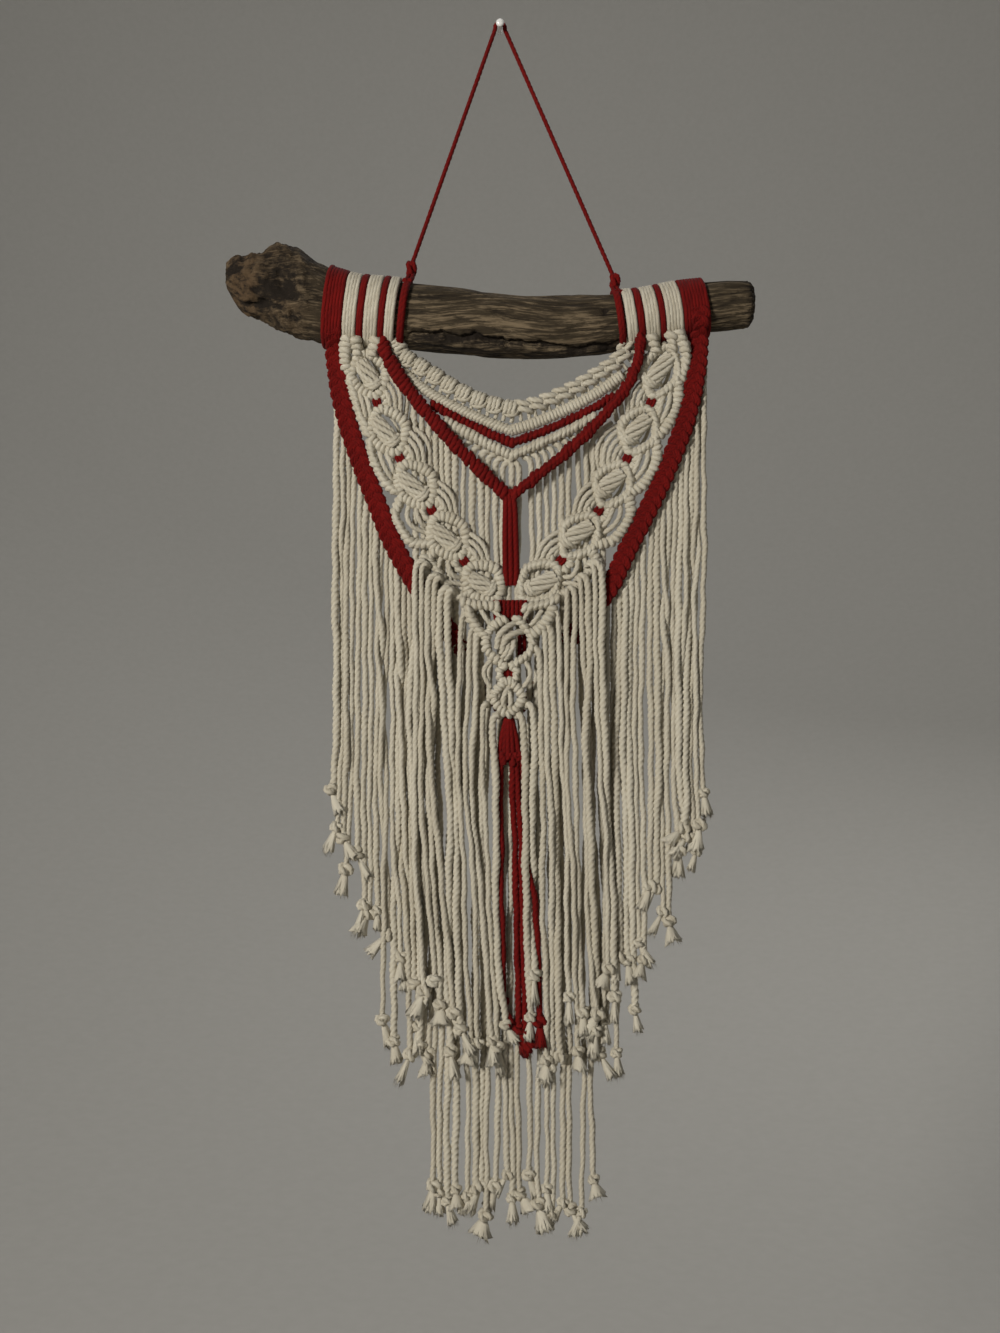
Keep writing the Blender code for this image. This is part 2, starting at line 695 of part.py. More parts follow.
make_rod()
make_pin()
make_hanger_cord()
for rod_side, rod_lean in (("left", BAND_LEAN), ("right", -BAND_LEAN)):
    make_hanger_tie(rod_side, rod_lean)
    make_bands(rod_side, rod_lean)
    swept_row(f"edging_{rod_side}", EDGING_PATH[rod_side], EDGING_WIDTH, EDGING_THICKNESS, "red")
make_wing("left", 1)
make_wing("right", -1)
make_drop()
make_inner_v()
swept_row("neckline_knots", full_width(NECK_TOP_PATH), NECK_TOP_WIDTH, NECKLINE_THICKNESS, "white")
swept_row("neckline_rib", full_width(NECK_RIB_PATH), NECK_RIB_WIDTH, NECKLINE_THICKNESS, "white")
swept_row("chevron_red", full_width(RED_CHEVRON_PATH), RED_CHEVRON_WIDTH, CHEVRON_THICKNESS, "red")
swept_row("chevron_white", full_width(WHITE_CHEVRON_PATH), WHITE_CHEVRON_WIDTH, CHEVRON_THICKNESS, "white")
make_tassel()
for fringe_side in ("left", "right"):
    make_outer_fringe(fringe_side)
    make_plain_fringe(f"fringe_front_{fringe_side}", FRONT_FRINGE[fringe_side], FRONT_BACK)
make_plain_fringe("fringe_curtain", CURTAIN_FRINGE, FRINGE_BACK)
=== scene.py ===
# %% [markdown]
# # A macrame wall hanging on a driftwood rod
# The real thing is a found stick with cotton cords wrapped over it, and everything below is one long job
# of knotting: red and white rows of hitches, a net of rings with woven middles, and a fringe whose every
# strand ends in a small knot and a brushed-out tuft. This script builds it cord by cord inside the packed
# CAD frame, which gives the places and the size.

# %% Load the frame
import json
import math
import random

import bpy
import bmesh
import numpy as np
from mathutils import Matrix, Vector, noise

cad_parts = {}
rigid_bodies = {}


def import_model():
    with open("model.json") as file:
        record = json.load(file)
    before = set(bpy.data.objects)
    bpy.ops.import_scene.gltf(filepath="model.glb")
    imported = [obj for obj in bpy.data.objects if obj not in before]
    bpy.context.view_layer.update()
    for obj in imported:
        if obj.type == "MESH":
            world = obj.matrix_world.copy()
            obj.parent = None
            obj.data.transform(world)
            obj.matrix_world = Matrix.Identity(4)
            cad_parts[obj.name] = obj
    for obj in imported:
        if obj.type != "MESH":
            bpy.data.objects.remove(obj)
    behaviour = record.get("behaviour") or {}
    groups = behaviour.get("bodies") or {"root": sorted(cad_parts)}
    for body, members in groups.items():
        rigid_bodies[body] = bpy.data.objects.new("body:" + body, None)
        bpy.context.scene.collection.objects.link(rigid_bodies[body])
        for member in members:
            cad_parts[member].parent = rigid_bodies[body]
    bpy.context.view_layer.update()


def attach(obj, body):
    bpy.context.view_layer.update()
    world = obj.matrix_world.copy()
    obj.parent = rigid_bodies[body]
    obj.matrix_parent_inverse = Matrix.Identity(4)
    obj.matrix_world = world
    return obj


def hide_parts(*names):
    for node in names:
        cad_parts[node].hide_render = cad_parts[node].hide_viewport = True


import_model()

MM = 0.001

# %% [markdown]
# ## Camera
# The photograph was taken from about three quarters of a metre, level with the middle of the hanging, so
# we look a little up at the rod and a little down on the lowest tufts. A camera level with the floor keeps
# the strands upright. The vertical sensor makes the picture's height the fixed one.

# %% Camera at the photograph's angle
def linked(name, data):
    """A new object in the scene."""
    thing = bpy.data.objects.new(name, data)
    bpy.context.scene.collection.objects.link(thing)
    return thing


camera_data = bpy.data.cameras.new("camera")
camera_data.sensor_fit = "VERTICAL"
camera_data.sensor_height = 24.0
camera_data.lens = 25.0
camera_data.clip_end = 20.0
camera = linked("camera", camera_data)
camera.location = (0.0, -0.78, -0.356)
camera.rotation_euler = (math.pi / 2, 0.0, 0.0)
bpy.context.scene.camera = camera
bpy.context.scene.view_settings.view_transform = "Standard"
print("camera at", tuple(camera.location), "metres")

# %% [markdown]
# ## Reading a table as a smooth line
# Every row and strand is placed by a few points in millimetres: x to the right, depth away from the wall,
# z up. A Catmull-Rom line passes through each of them, so a cord bends softly and still goes where its
# table says. Blender's own curves could do it, but plain arrays are easier to push apart and measure.

# %% Lines through points
def smooth(points, step=2.0, closed=False):
    """A soft line through points, with a new point about every step millimetres."""
    given = [np.array(point, float) for point in points]
    if closed:
        rows = [given[-1]] + given + given[:2]
    else:
        rows = [given[0]] + given + [given[-1]]
    line = []
    for a, b, c, d in zip(rows, rows[1:], rows[2:], rows[3:]):
        count = max(2, round(float(np.linalg.norm(c - b)) / step))
        for t in np.linspace(0.0, 1.0, count, endpoint=False):
            line.append(0.5 * (2 * b + (c - a) * t + (2 * a - 5 * b + 4 * c - d) * t ** 2
                               + (3 * b - a - 3 * c + d) * t ** 3))
    if not closed:
        line.append(given[-1])
    return np.array(line)


def resampled(line, step):
    """The same line with its points at even distances."""
    lengths = np.concatenate([[0.0], np.cumsum(np.linalg.norm(np.diff(line, axis=0), axis=1))])
    places = np.linspace(0.0, lengths[-1], max(2, round(lengths[-1] / step) + 1))
    return np.stack([np.interp(places, lengths, line[:, axis]) for axis in range(3)], axis=1)


def line_length(line):
    return float(np.linalg.norm(np.diff(line, axis=0), axis=1).sum())


def read_between(table, x, column):
    """Read a column of a table whose first column rises, at any x."""
    rows = np.array(table, float)
    return float(np.interp(x, rows[:, 0], rows[:, column]))


def held(value):
    """A number held between 0 and 1."""
    return min(1.0, max(0.0, value))


bend = smooth([(0, 0, 0), (10, 0, 0), (10, 0, 10)])
print("a bend of 20 mm becomes a line of", round(line_length(bend), 1), "mm in", len(bend), "points")


# %% [markdown]
# ## Meshes from plain numbers
# Hosts for the node trees, tufts, the pin and the rod are all points and faces worked out in Python. One
# function stores extra numbers on the points, such as a cord's radius, and trees and materials read them.

# %% Points, lines and closed bodies as meshes
def point(x, depth, z):
    """A place in millimetres as the scene's own, in metres with y away from the room."""
    return (x * MM, -depth * MM, z * MM)


def number_mesh(places, edges=(), faces=(), **numbers):
    """A plain mesh whose points carry these numbers or vectors."""
    mesh = bpy.data.meshes.new("mesh")
    mesh.from_pydata(places, edges, faces)
    for name, values in numbers.items():
        values = np.array(values, float)
        if values.ndim == 0:
            values = np.full(len(places), values)
        kind, part = ("FLOAT_VECTOR", "vector") if values.ndim > 1 else ("FLOAT", "value")
        mesh.attributes.new(name, kind, "POINT").data.foreach_set(part, values.ravel())
    return mesh


def line_mesh(paths, **numbers):
    """Lines as a mesh: each path is its points and if it closes."""
    places, edges = [], []
    for points, closed in paths:
        first = len(places)
        places += [point(*place) for place in points]
        edges += [(i, i + 1) for i in range(first, len(places) - 1)]
        if closed:
            edges.append((len(places) - 1, first))
    return number_mesh(places, edges, **numbers)


def ring_faces(rings, sides):
    """The faces between rings of points, each ring with this many."""
    faces = []
    for first in range(0, (rings - 1) * sides, sides):
        for side in range(sides):
            a, b = first + side, first + (side + 1) % sides
            faces.append((a, a + sides, b + sides, b))
    return faces


def circle(sides):
    return [(math.cos(2 * math.pi * side / sides), math.sin(2 * math.pi * side / sides))
            for side in range(sides)]


def solid(places, faces, **numbers):
    """A closed smooth body, with its faces turned outwards."""
    mesh = number_mesh(places, (), faces, **numbers)
    shape = bmesh.new()
    shape.from_mesh(mesh)
    bmesh.ops.recalc_face_normals(shape, faces=shape.faces)
    shape.to_mesh(mesh)
    shape.free()
    mesh.shade_smooth()
    return mesh


# %% [markdown]
# ## Writing node trees as arithmetic
# A node tree is easier to read as a formula. `Wire` stands for a socket, and its operators add the Math
# nodes behind them. `Tree.add` makes any other node from its type, its settings and what goes into its
# sockets, and the nodes that come back often have a short name. Geometry Nodes and materials share both.

# %% Wires and trees
class Wire:
    """One output of a node, so that node maths reads as arithmetic."""

    def __init__(self, tree, socket):
        self.tree = tree
        self.socket = socket

    def out(self, name):
        """Another output of the same node."""
        return Wire(self.tree, next(s for s in self.socket.node.outputs if s.name == name and s.enabled))

    def __add__(self, other):
        return self.tree.maths("ADD", self, other)

    def __sub__(self, other):
        return self.tree.maths("SUBTRACT", self, other)

    def __rsub__(self, other):
        return self.tree.maths("SUBTRACT", other, self)

    def __mul__(self, other):
        return self.tree.maths("MULTIPLY", self, other)

    def __truediv__(self, other):
        return self.tree.maths("DIVIDE", self, other)

    __radd__ = __add__
    __rmul__ = __mul__


class Tree:
    """A node tree that is written with add()."""

    def __init__(self, owner):
        self.nodes = owner.nodes
        self.links = owner.links

    def add(self, kind, *values, settings=None, **named):
        """A node. Values go into its sockets in order, or by name with _ for a space."""
        node = self.nodes.new(kind)
        for key, value in (settings or {}).items():
            setattr(node, key, value)
        live = [s for s in node.inputs if s.enabled]
        pairs = list(zip(live, values))
        for key, value in named.items():
            pairs.append((next(s for s in live if s.name == key.replace("_", " ")), value))
        for target, value in pairs:
            if isinstance(value, (Wire, list)):
                for wire in value if isinstance(value, list) else [value]:
                    self.links.new(wire.socket, target)
            else:
                target.default_value = value
        usable = [s for s in node.outputs if s.enabled]
        return Wire(self, usable[0]) if usable else node

    def maths(self, operation, *values):
        return self.add("ShaderNodeMath", *values, settings={"operation": operation})

    def vector(self, operation, *values):
        return self.add("ShaderNodeVectorMath", *values, settings={"operation": operation})

    def xyz(self, **axes):
        return self.add("ShaderNodeCombineXYZ", **axes)

    def noise(self, place, scale, detail, roughness=0.5):
        return self.add("ShaderNodeTexNoise", Vector=place, Scale=scale, Detail=detail, Roughness=roughness)

    def mix(self, factor, a, b):
        """A colour between two. The node itself holds the factor between 0 and 1."""
        return self.add("ShaderNodeMix", Factor=factor, A=a, B=b, settings={"data_type": "RGBA"})

    def place(self):
        """In a material, where a point lies on its piece, in metres."""
        return self.add("ShaderNodeTexCoord").out("Object")

    def carried(self, name, output="Fac"):
        """In a material, a number that the mesh carries."""
        return self.add("ShaderNodeAttribute", settings={"attribute_name": name}).out(output)

    def surface(self, **look):
        """The end of a material."""
        shader = self.add("ShaderNodeBsdfPrincipled", **look)
        self.add("ShaderNodeOutputMaterial", Surface=shader)

    def named(self, name, kind="FLOAT"):
        """In a geometry tree, a number that the points carry."""
        return self.add("GeometryNodeInputNamedAttribute", Name=name, settings={"data_type": kind})

    def store(self, geometry, name, value, kind="FLOAT", domain="POINT"):
        return self.add("GeometryNodeStoreNamedAttribute", Geometry=geometry, Name=name, Value=value,
                        settings={"data_type": kind, "domain": domain})

    def random(self, low, high, seed):
        return self.add("FunctionNodeRandomValue", Min=low, Max=high, Seed=seed,
                        settings={"data_type": "FLOAT"})

    def turned(self, rotation, **angles):
        """A rotation, turned further about its own axes."""
        own = self.add("FunctionNodeEulerToRotation", self.xyz(**angles))
        return self.add("FunctionNodeRotateRotation", rotation, own, settings={"rotation_space": "LOCAL"})

    def points_along(self, lines, step):
        """Mesh lines as curves with a point at every step."""
        curves = self.add("GeometryNodeMeshToCurve", Mesh=lines)
        return self.add("GeometryNodeResampleCurve", Curve=curves, Length=step, settings={"mode": "LENGTH"})

    def end(self, geometry, material):
        """Every geometry tree ends the same way: real geometry, smooth, in its material."""
        real = self.add("GeometryNodeRealizeInstances", Geometry=geometry)
        soft = self.add("GeometryNodeSetShadeSmooth", real, Shade_Smooth=True)
        self.add("NodeGroupOutput", self.add("GeometryNodeSetMaterial", Geometry=soft, Material=material))
        print("the tree has", len(self.nodes), "nodes")


def geometry_tree(name, **inputs):
    """An empty Geometry Nodes tree with these inputs, by value or by kind, and its first input's wire."""
    group = bpy.data.node_groups.new(name, "GeometryNodeTree")
    group.interface.new_socket("Geometry", in_out="INPUT", socket_type="NodeSocketGeometry")
    for label, value in inputs.items():
        kind = {float: "Float", int: "Int"}.get(type(value), value)
        socket = group.interface.new_socket(label.replace("_", " "), in_out="INPUT",
                                            socket_type=f"NodeSocket{kind}")
        if kind != value:
            socket.default_value = value
    group.interface.new_socket("Geometry", in_out="OUTPUT", socket_type="NodeSocketGeometry")
    tree = Tree(group)
    return group, tree, tree.add("NodeGroupInput")


def grown(group, host_mesh, **values):
    """Run a tree on a host mesh and return what it makes as a plain mesh."""
    host = linked("host", host_mesh)
    modifier = host.modifiers.new(group.name, "NODES")
    modifier.node_group = group
    for item in group.interface.items_tree:
        key = item.name.replace(" ", "_")
        if item.item_type == "SOCKET" and item.in_out == "INPUT" and key in values:
            modifier[item.identifier] = values[key]
    view = bpy.context.evaluated_depsgraph_get()
    mesh = bpy.data.meshes.new_from_object(host.evaluated_get(view), depsgraph=view)
    host.modifiers.clear()
    bpy.data.objects.remove(host)
    return mesh


# %% [markdown]
# ## Cotton
# The cord is matt, unbleached cotton: a warm off-white with a faint sheen along its fibres, and the same
# cord dyed a deep red. Its colour isn't even: each strand has its own tone, and the grooves between its
# plies are painted darker, as painted shade. The pattern follows the cord through three attributes: `lay`
# is the place round and along the cord, in millimetres, `groove` is how deep between two plies, and `tone`
# is a strand's number.

# %% Cotton materials
WHITE, RED = "cotton_white", "cotton_red"
FIBRE_STRETCH = 0.16          # fibres run along the cord, so the pattern is pulled out that way


def new_material(name):
    material = bpy.data.materials.new(name)
    material.use_nodes = True
    material.node_tree.nodes.clear()
    return material, Tree(material.node_tree)


def cotton(name, colour, shade, sheen):
    material, tree = new_material(name)
    tone = tree.carried("tone")
    along = tree.vector("MULTIPLY", tree.carried("lay", "Vector"), (1.0, 1.0, FIBRE_STRETCH))
    fibres = tree.noise(tree.vector("ADD", along, tree.xyz(Z=tone * 37.0)), 3.4, 3.0, 0.6)
    patches = tree.noise(tree.place(), 26.0, 2.0)
    # painted shade: the groove term darkens the cord between its plies, while tone, patches and fibres are
    # its own uneven colour
    tone_and_groove_shade = (tone - 0.5) * 0.30 + (patches - 0.5) * 0.55 + (fibres - 0.5) * 0.75 \
        + tree.carried("groove") * 0.60
    bump = tree.add("ShaderNodeBump", Strength=0.55, Distance=0.00035, Height=fibres)
    tree.surface(Base_Color=tree.mix(tone_and_groove_shade + 0.22, colour, shade), Roughness=0.92, Normal=bump,
                 Specular_IOR_Level=0.18, Sheen_Weight=sheen, Sheen_Roughness=0.45)
    print(name, "has", len(tree.nodes), "nodes")
    return material


COTTON = {
    WHITE: cotton(WHITE, (0.605, 0.560, 0.455, 1.0), (0.430, 0.380, 0.285, 1.0), 0.12),
    RED: cotton(RED, (0.185, 0.0045, 0.0030, 1.0), (0.084, 0.0022, 0.0018, 1.0), 0.015),
}

# %% [markdown]
# ## A laid cord
# Real cord is three plies twisted together. A round tube with a bump map would do from afar, but the
# outline would be dead straight. Here a three-lobed section is swept along each line and turned as it
# goes, which gives the real ridges at about thirteen triangles a millimetre. Each host mesh is a set of
# open or closed lines, with a radius at each point and a tone for each strand.

# %% The laid cord tree
def make_cord_tree():
    group, tree, start = geometry_tree("laid_cord", Step=0.0014, Lay_Length=0.0105, Groove=0.20,
                                       Section_Points=9, Material="Material")
    lines = tree.points_along(start, start.out("Step"))
    along = tree.add("GeometryNodeSplineParameter").out("Length")
    turn = along / start.out("Lay Length") * (2 * math.pi) + tree.named("tone") * 40.0
    lines = tree.add("GeometryNodeSetCurveTilt", Curve=lines, Tilt=turn)
    lines = tree.store(lines, "run", tree.xyz(Z=along * 1000.0), "FLOAT_VECTOR")
    # the section: a circle that is pulled in between its three plies
    section = tree.add("GeometryNodeCurvePrimitiveCircle", Resolution=start.out("Section Points"), Radius=1.0)
    place = tree.add("GeometryNodeInputPosition")
    split = tree.add("ShaderNodeSeparateXYZ", place)
    angle = tree.maths("ARCTAN2", split.out("Y"), split.out("X"))
    deep = tree.maths("COSINE", angle * 3.0) * 0.5 + 0.5
    section = tree.store(section, "round", place, "FLOAT_VECTOR")
    # how deep between plies, which the cotton paints darker as painted shade
    section = tree.store(section, "groove", deep)
    pulled = tree.vector("SCALE", place, deep * start.out("Groove") * -1.0)
    section = tree.add("GeometryNodeSetPosition", Geometry=section, Offset=pulled)
    tubes = tree.add("GeometryNodeCurveToMesh", Curve=lines, Profile_Curve=section,
                     Scale=tree.named("size"), Fill_Caps=True)
    around = tree.vector("MULTIPLY", tree.named("round", "FLOAT_VECTOR"), (1.4, 1.4, 0.0))
    lay = tree.vector("ADD", tree.named("run", "FLOAT_VECTOR"), around)
    tree.end(tree.store(tubes, "lay", lay, "FLOAT_VECTOR"), start.out("Material"))
    return group


cord_tree = make_cord_tree()


def laid(places, radius=1.5, step=1.4):
    """A cord through points given as x, depth and z: its line, its radius, and that it doesn't close."""
    return (smooth(places, step), radius, False)


def cords(strands, colour, seed, **values):
    """Strands grown into laid cord: each is its line, its radius or radii, and if it closes."""
    chance = random.Random(seed)
    sizes, tones = [], []
    for points, radius, _closed in strands:
        sizes += list(np.broadcast_to(np.asarray(radius, float) * MM, len(points)))
        tones += [chance.random()] * len(points)
    host = line_mesh([(points, closed) for points, _radius, closed in strands], size=sizes, tone=tones)
    return grown(cord_tree, host, Material=COTTON[colour], **values)


# %% [markdown]
# ## From meshes to pieces
# Each piece is one plain mesh at the origin. It rides on the hanging's only body and stands for a CAD
# solid, which stays behind it for collision.

# %% Joining and adding
def joined(meshes):
    """Several plain meshes as one, with their attributes and materials."""
    whole, *parts = [linked("part", mesh) for mesh in meshes]
    if parts:
        with bpy.context.temp_override(active_object=whole, selected_editable_objects=[whole] + parts):
            bpy.ops.object.join()
    mesh = whole.data
    bpy.data.objects.remove(whole)
    return mesh


def triangles(mesh):
    return sum(len(face.vertices) - 2 for face in mesh.polygons)


def add_piece(name, slot, node, *meshes):
    """Finished meshes as one piece: it rides on the body, and stands for its CAD node if it has one."""
    mesh = joined(meshes)
    for spare in ("run", "round", "size"):
        if spare in mesh.attributes:
            mesh.attributes.remove(mesh.attributes[spare])
    piece = linked(name, mesh)
    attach(piece, "root")
    if node:
        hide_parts(node)
    print(f"{name}: {triangles(mesh)} triangles")


# %% [markdown]
# ## The fringe, strand by strand
# A strand hangs almost plumb, but it leans on its neighbours: they bunch, part and cross a little, and it
# is this unevenness that makes a fringe look like cord and not like a comb. Each row of a table gives a
# strand's top, its x halfway down, and the x and z of the knot at its end, in millimetres. The strands
# are then pushed apart wherever two of them would share the same space, level by level.

# %% Where the strands hang
OUTER_LEFT = [
    # top x, middle x, end x, end z
    (-88.5, -88.5, -91.5, -422.5), (-85, -87, -89, -443), (-81.5, -84, -85, -448.5),
    (-79, -81, -84, -466), (-75, -78, -77.5, -457.5), (-72, -74.5, -71.5, -485.5),
    (-69, -71, -70.5, -490), (-66.5, -68.5, -66, -488), (-64.5, -65.5, -60.5, -501.5),
    (-61, -61.5, -63.5, -547.5), (-58, -58.5, -53.5, -513.5), (-55.5, -56, -57.5, -559),
    (-53.5, -54, -50, -519.5), (-51.5, -52, -49, -566.5), (-49, -49.5, -47.5, -527),
    (-47, -47, -43, -562.5),
]
OUTER_RIGHT = [
    (58.5, 59, 54, -566), (62, 61.5, 63, -565.5), (65, 64.5, 64, -513.5),
    (68, 67, 70, -515.5), (71.5, 70, 73.5, -542), (74.5, 74, 74.5, -505.5),
    (77, 76.5, 77.5, -515), (82, 82.5, 81, -475), (85.5, 85.5, 85, -476.5),
    (89, 87.5, 88, -489), (92.5, 90, 92, -494), (95, 94, 97, -456),
    (98.5, 97, 102, -448), (101, 99, 99, -424), (103.5, 101, 100.5, -443.5),
    (106.5, 103, 107, -456), (108, 105.5, 107.5, -441.5), (110, 109.5, 110.5, -424.5),
]
CURTAIN = [
    (-46.5, -46, -44, -552), (-42.5, -42.5, -41, -561), (-38.5, -38.5, -38, -566),
    (-34, -35.5, -35.5, -638), (-32, -33, -32.5, -641.5), (-28.5, -29, -28.5, -646),
    (-24.5, -24.5, -24.5, -640), (-19.5, -18.5, -18, -643.5), (-15, -14, -13.5, -640),
    (-10.5, -9.5, -9, -638), (-6.5, -6.5, -7.5, -654), (-2.5, -2, -2.5, -638),
    (1.5, 2.5, 4, -632), (6.5, 6.5, 7, -644.5), (10.5, 10.5, 10.5, -642.5),
    (17, 16, 15.5, -632), (21, 21, 21, -647.5), (25, 26, 27, -639.5),
    (29, 29, 28.5, -652.5), (33.5, 34, 34, -647), (37.5, 38, 38, -651),
    (42, 43.5, 44.5, -652.5), (46.5, 49, 51, -634.5),
    (50.5, 52.5, 54, -556), (54.5, 56, 57, -548),
]
FRONT_LEFT = [
    # root x and z, x where it falls, middle x, end x, end z
    (-39, -300.5, -46, -46, -41.5, -531), (-38, -302, -42.5, -42, -34.5, -525),
    (-32, -308, -39, -39, -32.5, -538), (-31, -309.5, -35.5, -36, -26, -542.5),
    (-26, -315, -32.5, -32, -26.5, -563.5), (-25, -316, -28.5, -25.5, -21, -551),
    (-16, -328.5, -21, -21, -14.5, -560), (-12, -336.5, -16.5, -18, -12, -559),
    (-10.5, -338.5, -13, -14.5, -5, -558), (-6.5, -377, -9.5, -10.5, -1.5, -561),
    (0, -383, -4.5, -2.5, 3.5, -549),
]
FRONT_RIGHT = [
    (8.5, -383, 12.5, 13.5, 15.5, -545), (13.5, -377.5, 18, 18, 19, -522),
    (17.5, -347.5, 21.5, 22, 26.5, -568), (22, -337.5, 24.5, 26, 28, -572),
    (23, -335.5, 28, 28.5, 33, -566.5), (27.5, -327, 31.5, 33.5, 37.5, -534.5),
    (35.5, -316, 36, 35.5, 41.5, -563.5), (36.5, -315, 40.5, 40.5, 44.5, -542.5),
    (41, -309.5, 43.5, 46, 51.5, -543), (42, -308.5, 47.5, 48.5, 51, -552.5),
    (46.5, -302, 51, 54, 59.5, -519), (47.5, -301, 55, 56, 62, -534),
]
TASSEL_TAIL = [
    (1.5, -404, 0.5, 0, 1.5, -538), (5.5, -404, 6.5, 8.5, 11, -552),
    (8, -404, 9, 10.5, 13, -553.5), (9.5, -404, 12, 16.5, 21.5, -547.5),
]
MIDDLE_Z = -417.5             # the height at which the tables give a strand's middle x

# %% The rows that the strands hang from
EDGING = {
    "left": [(-89.5, -184), (-88, -196), (-86, -209.5), (-81, -228.5), (-74.5, -247.5),
             (-67, -266.5), (-58.5, -288), (-46, -310.5), (-34.5, -327), (-22.5, -344.5),
             (-11, -363.5), (-0.6, -379.5)],
    "right": [(107.5, -178), (106.5, -193.5), (103, -212.5), (98.5, -228.5), (92, -245),
              (85, -261), (77, -277), (69, -292.5), (59.5, -312.5), (47.5, -328.5),
              (32.5, -347.5), (21.5, -363.5), (11.2, -379.5)],
}
WHITE_CHEVRON = [(-29, -223.6), (-19, -229), (-6.5, -235.8), (6.5, -242), (20.5, -236),
                 (36, -229), (50.5, -221.5)]

# the curtain's outermost strands start behind the inner V
CURTAIN_EDGE = [(-52.0, -199.0), (-40.0, -210.0)] + WHITE_CHEVRON + [(60.0, -208.0)]
FRINGES = {
    # node: its piece, colour and table, then the row above, how far below that row it starts,
    # its depth at the top and at rest, and its sway
    "fringe_outer_left": ("fringe_of_left_edging", WHITE, OUTER_LEFT, EDGING["left"], 1.0,
                          25.6, 26.2, 1.0),
    "fringe_outer_right": ("fringe_of_right_edging", WHITE, OUTER_RIGHT, EDGING["right"], 1.0,
                           25.6, 26.2, 1.0),
    "fringe_curtain": ("fringe_of_chevron", WHITE, CURTAIN, CURTAIN_EDGE, 3.0, 27.2, 25.2, 1.2),
    "fringe_front_left": ("fringe_of_left_wing", WHITE, FRONT_LEFT, None, 7.0, 33.6, 30.6, 1.5),
    "fringe_front_right": ("fringe_of_right_wing", WHITE, FRONT_RIGHT, None, 7.0, 33.6, 30.6, 1.5),
    "tassel_tail": ("tassel_strands", RED, TASSEL_TAIL, None, 5.0, 30.4, 30.0, 0.5),
}
print(sum(len(row[2]) for row in FRINGES.values()), "strands")

# %% Hanging, bunched and pushed apart
CORD_RADIUS = 1.90
FULL_TURN = 6.28              # a wave may start anywhere in its turn
NEAREST = 1.75                # how close two strands may come, in cord radii: they press in a little
LEVEL_STEP = 4.0              # strands are kept apart at levels this far from each other
HELD_LEVELS = 5.0             # over this many levels a strand becomes free of its row
GIVE = 0.35                   # the share of a push, or of a straightening, that one round takes
FORWARD_PUSH = 1.2            # strands part a little more to the front and back than sideways
SPRING_BACK = 0.02            # the share of its way back that a strand springs in each round


def edge_top(path, x):
    """The height of the row's middle line at x."""
    return read_between(sorted(path), x, 1)


def hanging(top_x, top_z, middle_x, end_x, end_z, depth, rest_depth, sway, chance):
    """A strand's line from its top to its knot, with a little sway of its own."""
    drop = top_z - end_z
    if top_z > MIDDLE_Z + 20:
        share = (top_z - MIDDLE_Z) / drop
    else:
        share, middle_x = 0.5, (top_x * 0.4 + end_x * 0.6)
    waves = [(chance.uniform(0, FULL_TURN), chance.uniform(0.7, 1.3) * sway, chance.uniform(26, 48)),
             (chance.uniform(0, FULL_TURN), chance.uniform(0.25, 0.5) * sway, chance.uniform(9, 17))]
    line = []
    for t in np.linspace(0.0, 1.0, max(8, int(drop / 4))):
        x = float(np.interp(t, [0.0, share, 1.0], [top_x, middle_x, end_x]))
        free = min(1.0, 4 * t) * min(1.0, 4 * (1 - t) + 0.3)
        swing = sum(size * math.sin(start + t * drop / length) for start, size, length in waves)
        back = depth + (rest_depth - depth) * held(2.5 * t - 0.7)
        line.append((x + free * swing, back + free * 0.6 * sway * math.cos(waves[0][0] + t * drop / 40),
                     top_z - t * drop))
    return smooth(line[::2] + [line[-1]], 3.0)


def bunched(lines, chance):
    """Neighbours lean together in twos and threes below their tops."""
    number = 0
    while number < len(lines):
        group = lines[number:number + chance.choice((1, 2, 2, 3))]
        middle = np.mean([line[len(line) // 2, 0] for line in group])
        for line in group:
            fall = (line[0, 2] - line[:, 2]) / (line[0, 2] - line[-1, 2])
            line[:, 0] += (middle - line[len(line) // 2, 0]) * 0.5 * np.sin(math.pi * fall) ** 2
        number += len(group)
    return lines


def push_apart(lines, gap, rounds=30):
    """Move strands sideways, level by level, until none is inside another. Their tops stay in place."""
    every_z = np.concatenate([line[:, 2] for line in lines])
    levels = np.arange(every_z.max(), every_z.min(), -LEVEL_STEP)
    places = np.full((len(levels), len(lines), 2), np.nan)
    hold = np.zeros(places.shape[:2])
    for number, line in enumerate(lines):
        rows = np.flatnonzero((levels <= line[0, 2]) & (levels >= line[-1, 2]))
        for axis in (0, 1):
            places[rows, number, axis] = np.interp(levels[rows], line[::-1, 2], line[::-1, axis])
        hold[rows, number] = np.clip((np.arange(len(rows)) - 1) / HELD_LEVELS, 0.0, 1.0)
    start = places.copy()
    for _round in range(rounds):
        # away from each neighbour that is too close
        apart = places[:, :, None, :] - places[:, None, :, :]
        distance = np.sqrt((apart ** 2).sum(-1)) + 1e-6
        close = (distance < gap) & ~np.eye(len(lines), dtype=bool)[None]
        push = np.where(close[..., None], apart / distance[..., None] * (gap - distance)[..., None], 0.0)
        push = np.nan_to_num(push).sum(2) * GIVE
        push[..., 1] *= FORWARD_PUSH
        places = places + push * hold[..., None]
        # straighter, and a little back to where the strand began
        before, after = np.roll(places, 1, axis=0), np.roll(places, -1, axis=0)
        before[0], after[-1] = np.nan, np.nan
        middle = (before + after) / 2
        straighter = places + (middle - places) * GIVE * hold[..., None]
        places = np.where(np.isnan(middle), places, straighter)
        places = places + (start - places) * SPRING_BACK
    for number, line in enumerate(lines):
        rows = np.flatnonzero(~np.isnan(start[:, number, 0]))
        offset = places[rows, number] - start[rows, number]
        for axis in (0, 1):
            line[:, axis] += np.interp(line[:, 2], levels[rows][::-1], offset[::-1, axis])
    return lines


